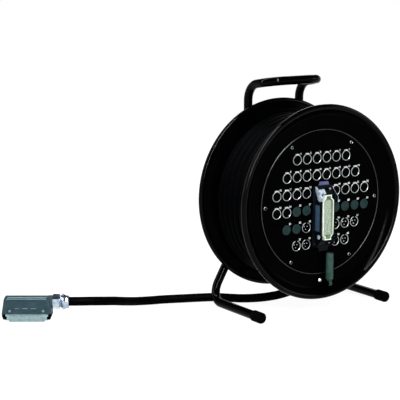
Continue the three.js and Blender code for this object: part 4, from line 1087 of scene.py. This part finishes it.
socket_places = []
blank_places = []
pin_places = []
label_places = []
for panel_row, socket_columns, blank_columns, pin_columns in ROWS:
    for column in sorted(socket_columns + blank_columns + pin_columns):
        spot = (column_x(column), row_z(panel_row))
        label_places.append(spot)
        kind = socket_places if column in socket_columns else blank_places
        (pin_places if column in pin_columns else kind).append(spot)


def latch_block(play, depth, place):
    """A block with a latch's section and some play round it, to cut its opening with."""
    return cuboid((LATCH_WIDTH + play, depth, LATCH_HEIGHT + play), (0, place, LATCH_RISE))


def panel_sheet():
    """The round sheet with its turned edge, its round holes, the latches' pockets and the middle well."""
    ring = PANEL_RADIUS - PANEL_LIP_WIDTH
    lip = PANEL_LIP
    sheet = lathe([
        (0, 0), (ring, 0), (ring, -lip + PANEL_EDGE_INSIDE), (ring + PANEL_EDGE_INSIDE, -lip),
        (PANEL_RADIUS - PANEL_EDGE_OUTSIDE, -lip), (PANEL_RADIUS, -lip + PANEL_EDGE_OUTSIDE),
        (PANEL_RADIUS, PANEL_THICKNESS), (0, PANEL_THICKNESS),
    ], DRUM_STEPS)
    moved(sheet, at_panel(0, AXIS_HEIGHT))
    holes = copies(drill(RING_INSIDE + HOLE_PLAY, HOLE_SPAN), all_at_panel(socket_places + pin_places))
    pockets = copies(latch_block(LATCH_PLAY, PANEL_CUT, LATCH_POCKET_PLACE), all_at_panel(socket_places))
    well = cuboid((WELL_WIDTH, PANEL_CUT, WELL_HEIGHT), (0, PANEL_FACE, MULTIPOLE_Z))
    whole = cut(cut(sheet, joined(holes, well)), pockets)
    return paint(whole, 1, lambda spot: spot.y < PANEL_FACE - PANEL_EDGE_DEPTH)


add_piece("panel_sheet", panel_sheet(), [anodised, bare_edge], "drum", ["connector_panel"])


# Round sockets: ring, wall, insert, body and latch
RING_SINK = 0.4
RING_CHAMFER_OUTSIDE = 0.3
RING_CHAMFER_INSIDE = 0.2
WALL_GAP = 0.05
WALL_CHAMFER = 0.3
WALL_TAPER = 0.5
WALL_THICKNESS = 0.4
WALL_CUT = 24
WALL_CUT_PLACE = 4
CORE_FACE = 0.4
CORE_CHAMFER = 0.5
CORE_OVERLAP = 0.2
CORE_BACK = 6
CONTACT_HOLE_RADIUS = 1.7
CONTACT_HOLE_SPAN = (-1, 7)
CONTACT_HOLE_STEPS = 16
CONTACT_ANGLES = (30, 150, 270)
# The outline of a connector's body behind the panel, narrower above where the latch is
BODY_OUTLINE = ((-11.5, -13), (11.5, -13), (11.5, 8), (7.4, 17), (-7.4, 17), (-11.5, 8))
BODY_START = 3.4
BODY_DEPTH = 20
BODY_BORE_PLAY = 0.4
BODY_BORE_SPAN = (2, 18)
SLIDE_PLAY = 0.4
SLIDE_PLACE = 1.6
LATCH_ARC_LIFT = 0.6
LATCH_ROUNDING = 0.5


def thin_ring(opening):
    """A thin metal ring on the panel, open where a tab or key goes through."""
    ring = lathe([
        (RING_OUTSIDE, RING_SINK), (RING_OUTSIDE, -RING_HEIGHT + RING_SINK),
        (RING_OUTSIDE - RING_CHAMFER_OUTSIDE, -RING_HEIGHT), (RING_LINE + RING_CHAMFER_INSIDE, -RING_HEIGHT),
        (RING_LINE, -RING_HEIGHT + RING_CHAMFER_INSIDE), (RING_LINE, RING_SINK),
    ], closed=True)
    return cut(ring, opening)


def socket_sleeve():
    """The black wall inside the ring, down to the bottom of the groove round the insert."""
    outside = RING_LINE - WALL_GAP
    front = -RING_HEIGHT + WALL_CHAMFER
    back = RING_INSIDE + WALL_THICKNESS
    sleeve = lathe([
        (outside, RING_SINK), (outside, front), (RING_INSIDE + WALL_CHAMFER, front), (RING_INSIDE, 0),
        (RING_INSIDE - WALL_TAPER, GROOVE_DEPTH), (back, GROOVE_DEPTH), (back, RING_SINK),
    ], closed=True)
    return cut(sleeve, latch_block(LATCH_PLAY, WALL_CUT, WALL_CUT_PLACE))


def contact_spots(radius):
    """The places of three contacts on a circle, as matrices."""
    places = [on_circle(radius, degrees) for degrees in CONTACT_ANGLES]
    return [Matrix.Translation((across, 0, up)) for across, up in places]


def socket_core():
    """The black insert of a socket, with three contact holes in its face."""
    outside = RING_INSIDE + CORE_OVERLAP
    back = GROOVE_DEPTH + CORE_BACK
    core = lathe([
        (outside, GROOVE_DEPTH), (CORE_RADIUS, GROOVE_DEPTH), (CORE_RADIUS, CORE_FACE + CORE_CHAMFER),
        (CORE_RADIUS - CORE_CHAMFER, CORE_FACE), (0, CORE_FACE), (0, back), (outside, back),
    ], closed=True)
    hole = drill(CONTACT_HOLE_RADIUS, CONTACT_HOLE_SPAN, CONTACT_HOLE_STEPS)
    return cut(core, copies(hole, contact_spots(CONTACT_CIRCLE)))


def connector_box():
    """The body behind the panel that carries the latch, open where the latch slides."""
    body = plate(BODY_OUTLINE, "XZ", BODY_START, BODY_DEPTH)
    bored = cut(body, drill(RING_INSIDE + BODY_BORE_PLAY, BODY_BORE_SPAN))
    return cut(bored, latch_block(SLIDE_PLAY, BODY_DEPTH, SLIDE_PLACE))


def push_latch():
    """A curved tab whose upper front edge is rounded for the thumb."""
    outer = arc((0, 0), LATCH_RISE + LATCH_HEIGHT / 2, 69, 111, 8)
    inner = arc((0, 0), LATCH_RISE - LATCH_HEIGHT / 2 + LATCH_ARC_LIFT, 117, 63, 8)
    return ease(plate(outer + inner, "XZ", -LATCH_PROUD, LATCH_LENGTH), LATCH_ROUNDING, 3, CASTING_ANGLE)


socket_spots = all_at_panel(socket_places)
socket_ring = thin_ring(latch_block(LATCH_PLAY, PANEL_CUT, 0))
add_piece("socket_rings", copies(socket_ring, socket_spots), satin_nickel, "drum")
for name, unit in (("sleeves", socket_sleeve()), ("cores", socket_core()), ("bodies", connector_box())):
    add_piece(f"socket_{name}", copies(unit, socket_spots), abs_black, "drum")

for number, spot in enumerate(socket_spots, 1):
    add_piece(
        f"latch_tab_{number}", moved(push_latch(), spot), zinc, f"latch_{number}",
        [f"push_latch_{number}"],
    )


# Recessed pin connectors and blanking discs
CUP_LIP = 0.6
CUP_FLOOR = 4
CUP_OUTSIDE = 11.4
CUP_STEP = 3.2
CUP_STEP_PLAY = 0.3
# The keyway's cut through the cup, as (depth, height), and how far it is raised
KEY_CUT = (28, 4)
KEY_RISE = 1
PIN_OVERLAP = 1
PIN_STEPS = 16
BLANK_RADIUS = 12
BLANK_CHAMFER = 0.5
BLANK_DISH_RADIUS = 10.6
BLANK_DISH = 0.15


def pin_cup():
    """A deep cup behind a lip, with a keyway in its wall."""
    outside = RING_LINE - WALL_GAP
    step = RING_INSIDE + CUP_STEP_PLAY
    back = CUP_DEPTH + CUP_FLOOR
    cup = lathe([
        (outside, 0), (outside, -CUP_LIP), (CUP_RADIUS + CUP_LIP, -CUP_LIP), (CUP_RADIUS, 0),
        (CUP_RADIUS, CUP_DEPTH), (0, CUP_DEPTH), (0, back), (CUP_OUTSIDE, back), (CUP_OUTSIDE, CUP_STEP),
        (step, CUP_STEP), (step, 0),
    ], closed=True)
    return cut(cup, cuboid((KEY_WIDTH, *KEY_CUT), (0, 0, CUP_RADIUS + KEY_RISE)))


def contact_pins():
    """Three round-ended pins that reach almost to the face; only their tips are zinc, and their shanks are
    painted black as painted shade.
    """
    profile = arc((0, PIN_TIP + CONTACT_RADIUS), CONTACT_RADIUS, -90, 0, 3)
    back = CUP_DEPTH + PIN_OVERLAP
    profile += [(CONTACT_RADIUS, PIN_SHADE_START), (CONTACT_RADIUS, back), (0, back)]
    # Painted shade: the shanks past the tips are black.
    pin = paint(lathe(profile, PIN_STEPS), 1, lambda spot: spot.y > PIN_SHADE_START)
    return copies(pin, contact_spots(PIN_CIRCLE))


pin_spots = all_at_panel(pin_places)
pin_nodes = [f"pin_connector_{number}" for number in range(1, len(pin_spots) + 1)]
keyway_height = 2 * (RING_OUTSIDE - CUP_RADIUS) + KEY_RISE
pin_ring = thin_ring(cuboid((KEY_WIDTH, PANEL_CUT, keyway_height), (0, 0, RING_OUTSIDE)))
add_piece("pin_cups", copies(pin_cup(), pin_spots), abs_black, "drum", pin_nodes)
add_piece("pin_rings", copies(pin_ring, pin_spots), satin_nickel, "drum")
add_piece("contact_pins", copies(contact_pins(), pin_spots), [zinc, abs_black], "drum")

blank = lathe([
    (BLANK_RADIUS, PANEL_SINK), (BLANK_RADIUS, -BLANK_HEIGHT + BLANK_CHAMFER),
    (BLANK_RADIUS - BLANK_CHAMFER, -BLANK_HEIGHT), (BLANK_DISH_RADIUS, -BLANK_HEIGHT + BLANK_DISH),
    (0, -BLANK_HEIGHT + BLANK_DISH), (0, PANEL_SINK),
])
add_piece("blanking_discs", copies(blank, all_at_panel(blank_places)), abs_teal, "drum")


# Screws of the connectors and of the panel's edge
SCREW_EDGE_SHARE = 0.35
SLOT_LENGTH_SHARE = 1.15
SLOT_WIDTH_SHARE = 0.26
SMALL_SCREW_RADIUS = 2.5
SMALL_SCREW_HEIGHT = 0.8
SMALL_SCREW_PLACE = (9.6, 12.2)
PANEL_SCREW_ANGLES = (0, 57.5, 122.5, 180, 237.5, 302.5)
PANEL_SCREW_RADIUS = 4.1
PANEL_SCREW_TOP = 3
PANEL_SCREW_HEIGHT = 1.8
PANEL_SCREW_DOME = 1
WASHER_EDGE = 0.4
# The washer's crown round the screw, as radii past it at its foot and its top
WASHER_CROWN = (0.5, 0.2)
STEM_DEPTH = 0.5
WASHER_STEPS = 32


def cross_screw(radius, height, steps=24):
    """A pan head with a cross recess."""
    dome = []
    for degrees in (0, 25, 50, 70, 90):
        out, rise = on_circle(1, degrees)
        dome.append((radius * out, -height * (SCREW_EDGE_SHARE + (1 - SCREW_EDGE_SHARE) * rise)))
    head = lathe([(radius, PANEL_SINK)] + dome + [(0, PANEL_SINK)], steps)
    length, width = radius * SLOT_LENGTH_SHARE, radius * SLOT_WIDTH_SHARE
    for across, up in ((length, width), (width, length)):
        head = cut(head, cuboid((across, height, up), (0, -height, 0)))
    return head


def panel_screw():
    """A dark cross-recessed screw in a pale cup washer."""
    top = PANEL_SCREW_TOP
    front = -PANEL_SCREW_HEIGHT
    washer = lathe([
        (PANEL_SCREW_RADIUS, PANEL_SINK), (PANEL_SCREW_RADIUS, -WASHER_EDGE),
        (top + WASHER_CROWN[0], front + WASHER_EDGE), (top + WASHER_CROWN[1], front),
        (top, front + WASHER_CROWN[1]), (top, PANEL_SINK),
    ], WASHER_STEPS, closed=True)
    screw = moved(cross_screw(top, PANEL_SCREW_DOME), Matrix.Translation((0, front + WASHER_EDGE, 0)))
    stem = drill(top, (PANEL_SINK, front + STEM_DEPTH), WASHER_STEPS)
    return joined(washer, paint(joined(screw, stem), 1, lambda spot: True))


small_screws = []
for x, z in socket_places + pin_places:
    for side in (-1, 1):
        small_screws.append(at_panel(x + side * SMALL_SCREW_PLACE[0], z - side * SMALL_SCREW_PLACE[1]))
small_screw = cross_screw(SMALL_SCREW_RADIUS, SMALL_SCREW_HEIGHT, 16)
add_piece("connector_screws", copies(small_screw, small_screws), abs_black, "drum")

screw_circle = [on_circle(PANEL_SCREW_CIRCLE, degrees, (0, AXIS_HEIGHT)) for degrees in PANEL_SCREW_ANGLES]
panel_screws = copies(panel_screw(), all_at_panel(screw_circle))
add_piece("panel_screws", panel_screws, [zinc, abs_black], "drum")


# Numbers beside the connectors: how thick the ink is, how much bolder the figures, how far they lie up
NUMBER_RELIEF = 0.04
NUMBER_WEIGHT = 0.22
NUMBER_LIFT = 0.06


def numbers():
    """Plain numbers beside the connectors, printed on the panel."""
    whole = bmesh.new()
    for number, (x, z) in enumerate(label_places, 1):
        text = bpy.data.curves.new("number", "FONT")
        text.body = str(number)
        text.size = LABEL_SIZE
        text.extrude = NUMBER_RELIEF
        text.offset = NUMBER_WEIGHT
        text.align_x = "CENTER"
        text.align_y = "CENTER"
        figure = baked(linked("number", text))
        place = Matrix.Translation((x + LABEL_OFFSET[0], PANEL_FACE - NUMBER_LIFT, z + LABEL_OFFSET[1]))
        moved(figure, place @ Matrix.Rotation(math.pi / 2, 4, "X"))
        whole = joined(whole, figure)
    return whole


add_piece("connector_numbers", numbers(), ink, "drum")


# Multi-pole connector with its levers
SEAL_ROUNDING = 0.25
PIVOT_SPAN = 47
PIVOT_PROUD = 24
PIVOT_Y = PANEL_FACE - PIVOT_PROUD
HOUSING_ROUNDING = 0.7
HOUSING_SIDE = 22
HOUSING_DEPTH = 27
PEG_PROUD = 0.3
PEG_FRONT = 18
STRIP_SIZE = (0.7, 18, 64)
STRIP_SINK = 0.2
STRIP_PROUD = 14
STRIP_DROP = 2
STRIP_ROUNDING = 0.2
BASE_THICKNESS = 5.8
BASE_SCREW_PLACE = (20.5, 67)
BASE_SCREW_RADIUS = 3.6
BASE_SCREW_HEIGHT = 1.8
INSERT_ROUNDING = 0.4
WELL_HALF_WIDTH = 13.4
WELL_HALF_HEIGHT = 52.9
WELL_TAB = 6.9
WELL_SHOULDER = 56
WELL_MARGIN = 0.2
WELL_RIM = 0.6

seal = refined("housing_seal", SEAL_ROUNDING, 1)
add_piece("seal_gasket", seal, rubber, "drum", ["housing_seal"])
housing = refined("multipole_housing", HOUSING_ROUNDING, above=CASTING_ANGLE)
paint(housing, 1, lambda spot: abs(spot.x) > HOUSING_SIDE + PEG_PROUD and spot.y < PANEL_FACE - PEG_FRONT)
add_piece(
    "housing_casting", housing, [powder_dark, lever_steel], "drum", ["multipole_housing"],
    smooth=CASTING_ANGLE,
)
for side, name in ((-1, "left"), (1, "right")):
    place = (side * (HOUSING_SIDE - STRIP_SINK), PANEL_FACE - STRIP_PROUD, MULTIPOLE_Z - STRIP_DROP)
    strip = ease(cuboid(STRIP_SIZE, place), STRIP_ROUNDING)
    add_piece(f"housing_strip_{name}", strip, powder_strip, "drum")

base_front = low("multipole_housing").y + HOUSING_DEPTH - BASE_THICKNESS
base_screws = []
for side in (-1, 1):
    for end in (-1, 1):
        place = (side * BASE_SCREW_PLACE[0], base_front, MULTIPOLE_Z + end * BASE_SCREW_PLACE[1])
        base_screws.append(Matrix.Translation(place))
base_screw = cross_screw(BASE_SCREW_RADIUS, BASE_SCREW_HEIGHT)
add_piece("base_screws", copies(base_screw, base_screws), zinc, "drum")

insert = refined("multipole_insert", INSERT_ROUNDING, above=CASTING_ANGLE)
insert_front = low("multipole_insert").y


def in_well(spot):
    across, along = abs(spot.x), abs(spot.z - MULTIPOLE_Z)
    middle_part = across < WELL_HALF_WIDTH + WELL_MARGIN and across + along < WELL_SHOULDER
    end_part = across < WELL_TAB + WELL_MARGIN and along < WELL_HALF_HEIGHT + WELL_MARGIN
    return spot.y > insert_front + WELL_RIM and (middle_part or end_part)


# Painted shade: the well's floor and inner walls take the darker copy of the cream.
paint(insert, 1, in_well)
add_piece(
    "contact_insert", insert, [cream, cream_painted_shade], "drum", ["multipole_insert"],
    smooth=CASTING_ANGLE,
)

SLEEVE_RADIUS = 1.1
SLEEVE_CHAMFER = 0.3
SLEEVE_TOP = 4.6
SLEEVE_FOOT = 9
SLEEVE_STEPS = 8
# How many columns and rows of sleeves, and how far apart
SLEEVE_COLUMNS = (7, 3.6)
SLEEVE_ROWS = (21, 4)


def contact_sleeves():
    """Pale sleeves in staggered columns over the insert's floor."""
    columns, column_pitch = SLEEVE_COLUMNS
    rows, row_pitch = SLEEVE_ROWS
    places = []
    for column in range(columns):
        for row in range(rows):
            x = (column - (columns - 1) / 2) * column_pitch
            z = (row + column % 2 / 2 - rows / 2) * row_pitch
            places.append(Matrix.Translation((x, insert_front, MULTIPOLE_Z + z)))
    sleeve = lathe([
        (SLEEVE_RADIUS, SLEEVE_FOOT), (SLEEVE_RADIUS, SLEEVE_TOP + SLEEVE_CHAMFER),
        (SLEEVE_RADIUS - SLEEVE_CHAMFER, SLEEVE_TOP), (0, SLEEVE_TOP),
    ], SLEEVE_STEPS)
    return copies(sleeve, places)


add_piece("contact_sleeves", contact_sleeves(), cream, "drum")

LEVER_ROUNDING = 0.45
LEVER_TAB = 27.4
TAB_COLOUR_START = 31
LEVER_SIDE = 23.9
LEVER_INSIDE = 0.9
PLATE_END = -6
# The latch plate's foot and head, as (place behind the pivot, height above it)
PLATE_FOOT = (-3, 11)
PLATE_HEAD = (6, 21.5)
PLATE_THICKNESS = 1.4
PLATE_ROUNDING = 0.4


def cross_plate(pivot_z, up):
    """The latch plate that stands on a lever's left arm, on its front slope. On the upper lever its pale
    sheet over the left part of the cross bar is a painted highlight.
    """
    foot, head = Vector(PLATE_FOOT), Vector(PLATE_HEAD)
    out = (head - foot).orthogonal().normalized() * PLATE_THICKNESS
    outline = [(PIVOT_Y + y, pivot_z + up * z) for y, z in (foot, head, head + out, foot + out)]
    return ease(plate(outline, "YZ", -LEVER_SIDE, LEVER_SIDE + PLATE_END), PLATE_ROUNDING)


for name, up in (("top", 1), ("bottom", -1)):
    lever = refined(f"lever_{name}", LEVER_ROUNDING)
    pivot_z = MULTIPOLE_Z + up * PIVOT_SPAN
    sliced(lever, (0, 0, pivot_z + up * TAB_COLOUR_START), (0, 0, 1))
    paint(lever, 2, lambda spot: up * (spot.z - pivot_z) > LEVER_TAB)
    # Painted shade: the cross bar and the inner faces of the arms take the near-black coat.
    paint(lever, 2, lambda spot: abs(spot.x) < HOUSING_SIDE + LEVER_INSIDE)
    paint(lever, 1, lambda spot: up * (spot.z - pivot_z) > TAB_COLOUR_START)
    body = "upper_lever" if up > 0 else "lower_lever"
    # Painted shade: the lower lever is a darkened copy of the upper one, its sheet and its tab near black.
    finishes = [lever_steel, tab_nylon, powder_dark] if up > 0 else [shaded_steel, powder_dark, powder_dark]
    add_piece(f"lever_{name}_bail", lever, finishes, body, [f"lever_{name}"])
    # Painted highlight: the upper lever's plate is pale sheet over the left part of the cross bar only.
    add_piece(f"lever_{name}_plate", cross_plate(pivot_z, up), finishes[0], body)


# Folding crank
CRANK_ROUNDING = 0.5
KNUCKLE_ROUNDING = 0.6
FOLD_PIN_HEIGHT = 76.5
FOLD_PIN_REACH = 6
FOLD_PIN_PROUD = 0.3
GRIP_RADIUS = 9.2
GRIP_BORE = 4.3
GRIP_FOOT_ROUNDING = 2.4
GRIP_TOP_ROUNDING = 1.8
GRIP_HOLLOW_RADIUS = 6.7
GRIP_HOLLOW_DEPTH = 3.3
GRIP_GROOVE = ((0, 0), (0.5, 0.4), (0.5, 1.4), (0, 1.8))
GRIP_GROOVE_PLACES = (6, 8)


def on_fold_pin(spot):
    height = abs(spot.z - FOLD_PIN_HEIGHT)
    proud = spot.y < PANEL_FACE - FOLD_PIN_PROUD
    return proud and abs(spot.x) < FOLD_PIN_REACH and height < FOLD_PIN_REACH


crank_base = paint(refined("crank_base", CRANK_ROUNDING), 1, on_fold_pin)
add_piece("crank_foot", crank_base, [enamel, zinc], "drum", ["crank_base"])
add_piece(
    "crank_knuckle_moulding", refined("crank_knuckle", KNUCKLE_ROUNDING, 3), knuckle_nylon, "crank_arm",
    ["crank_knuckle"],
)


def grip():
    """The turning grip: a slim barrel with a groove near each end and a hollow top."""
    bottom, top = low("crank_grip").z, high("crank_grip").z
    length = top - bottom
    foot, head = GRIP_RADIUS - GRIP_FOOT_ROUNDING, GRIP_RADIUS - GRIP_TOP_ROUNDING
    profile = [(GRIP_BORE, 0), (foot, 0)]
    profile += arc((foot, GRIP_FOOT_ROUNDING), GRIP_FOOT_ROUNDING, -70, 0, 5)
    for place in (GRIP_GROOVE_PLACES[0], length - GRIP_GROOVE_PLACES[1]):
        profile += groove(GRIP_RADIUS, place, GRIP_GROOVE)
    profile += arc((head, length - GRIP_TOP_ROUNDING), GRIP_TOP_ROUNDING, 0, 80, 5)
    floor_level = length - GRIP_HOLLOW_DEPTH
    profile += [(GRIP_HOLLOW_RADIUS, length), (GRIP_HOLLOW_RADIUS, floor_level), (GRIP_BORE, floor_level)]
    centre = middle("crank_grip")
    place = Matrix.Translation((centre.x, centre.y, bottom)) @ Matrix.Rotation(math.pi / 2, 4, "X")
    return moved(lathe(profile, closed=True), place)


add_piece("crank_grip_moulding", grip(), grip_nylon, "crank_handle", ["crank_grip"])


# Floor and the white studio, in metres
FLOOR_SIZE = 40
FLOOR_LEVEL = -0.0006
FLOOR_GLOW = 0.93


def seen_directly(tree):
    """1 where the camera, gloss or glass looks straight at a surface, else 0."""
    rays = node(tree, "ShaderNodeLightPath")
    gloss = node(tree, "ShaderNodeMath", {
        0: rays.outputs["Is Camera Ray"], 1: rays.outputs["Is Glossy Ray"],
    }, operation="ADD")
    return node(tree, "ShaderNodeMath", {
        0: gloss.outputs[0], 1: rays.outputs["Is Transmission Ray"],
    }, operation="ADD", use_clamp=True).outputs[0]


def studio_floor():
    """A pale floor that looks white but for the object's soft shadow."""
    material = bpy.data.materials.new("pale_studio_floor")
    tree = empty_tree(material)
    pale = node(tree, "ShaderNodeBsdfDiffuse", {"Color": linear("e6e6e6")})
    shade = node(tree, "ShaderNodeBsdfDiffuse", {"Color": linear("7a7a7a")})
    glow = node(tree, "ShaderNodeEmission", {"Color": linear("ffffff"), "Strength": FLOOR_GLOW})
    lit = node(tree, "ShaderNodeAddShader", {0: shade.outputs["BSDF"], 1: glow.outputs["Emission"]})
    mix = node(tree, "ShaderNodeMixShader", {
        "Fac": seen_directly(tree), 1: pale.outputs["BSDF"], 2: lit.outputs["Shader"],
    })
    node(tree, "ShaderNodeOutputMaterial", {"Surface": mix.outputs["Shader"]})
    return material


floor_mesh = bmesh.new()
bmesh.ops.create_grid(floor_mesh, x_segments=1, y_segments=1, size=FLOOR_SIZE / 2)
floor = linked("floor", as_mesh(floor_mesh, "floor"))
floor.location.z = FLOOR_LEVEL
floor.data.materials.append(studio_floor())

# The backdrop's top edge and the height where the dim room starts, in degrees above the horizon
BACKDROP_TOP = 8
ROOM_START = 20
ROOM_GLOW = 0.05
ROOM_LIGHT = 0.35


def backdrop(tree):
    """Full white for the camera; for gloss, white below the backdrop's edge and a dim room above."""
    direction = node(tree, "ShaderNodeTexCoord").outputs["Generated"]
    height = node(tree, "ShaderNodeSeparateXYZ", {"Vector": direction}).outputs["Z"]
    fade = node(tree, "ShaderNodeMapRange", {
        "Value": height, "From Min": math.sin(math.radians(BACKDROP_TOP)),
        "From Max": math.sin(math.radians(ROOM_START)), "To Min": 1, "To Max": ROOM_GLOW,
    }, interpolation_type="SMOOTHSTEP")
    rays = node(tree, "ShaderNodeLightPath")
    return node(tree, "ShaderNodeMath", {
        0: fade.outputs["Result"], 1: rays.outputs["Is Camera Ray"],
    }, operation="MAXIMUM").outputs[0]


world = bpy.data.worlds.new("studio")
bpy.context.scene.world = world
sky = empty_tree(world)
dim = node(sky, "ShaderNodeBackground", {"Color": linear("ffffff"), "Strength": ROOM_LIGHT})
white = node(sky, "ShaderNodeBackground", {"Color": linear("ffffff"), "Strength": backdrop(sky)})
mix = node(sky, "ShaderNodeMixShader", {
    "Fac": seen_directly(sky), 1: dim.outputs["Background"], 2: white.outputs["Background"],
})
node(sky, "ShaderNodeOutputWorld", {"Surface": mix.outputs["Shader"]})

# Lamps: two ends and a width in metres, and a power in watts
LAMP_AIM = (0, 0, 0.27)


def softbox(name, one_end, other_end, width, watts, gloss_only):
    """A long soft lamp between two points, which faces the drum."""
    one_end, other_end = Vector(one_end), Vector(other_end)
    middle_point = (one_end + other_end) / 2
    facing = (middle_point - Vector(LAMP_AIM)).normalized()
    along = other_end - one_end
    across = facing.cross(along).normalized()
    lamp = bpy.data.lights.new(name, "AREA")
    lamp.shape = "RECTANGLE"
    lamp.size = along.length
    lamp.size_y = width
    lamp.energy = watts
    made = linked(name, lamp)
    made.location = middle_point
    made.rotation_euler = Matrix((across.cross(facing), across, facing)).transposed().to_euler()
    made.visible_camera = False
    made.visible_diffuse = not gloss_only


# Each lamp as (name, one end, other end, width, watts, seen in gloss only)
LAMPS = (
    ("key", (-1.5, -2.6, 0.55), (-0.7, -1, 3), 0.35, 70, False),
    ("right_fill", (2.4, -2.2, 1.2), (2.4, -1, 1.2), 1.2, 20, False),
    ("rim_light", (-2.8, 1.25, 0.6), (0.6, 1.2, 3.1), 0.2, 60, False),
    ("back", (1, 2.4, 1.8), (2.2, 2.4, 1.8), 1.2, 20, False),
    ("key_gloss", (-1.4, -2.6, 0.9), (-0.6, -0.8, 3.2), 0.08, 160, True),
)
for lamp_settings in LAMPS:
    softbox(*lamp_settings)
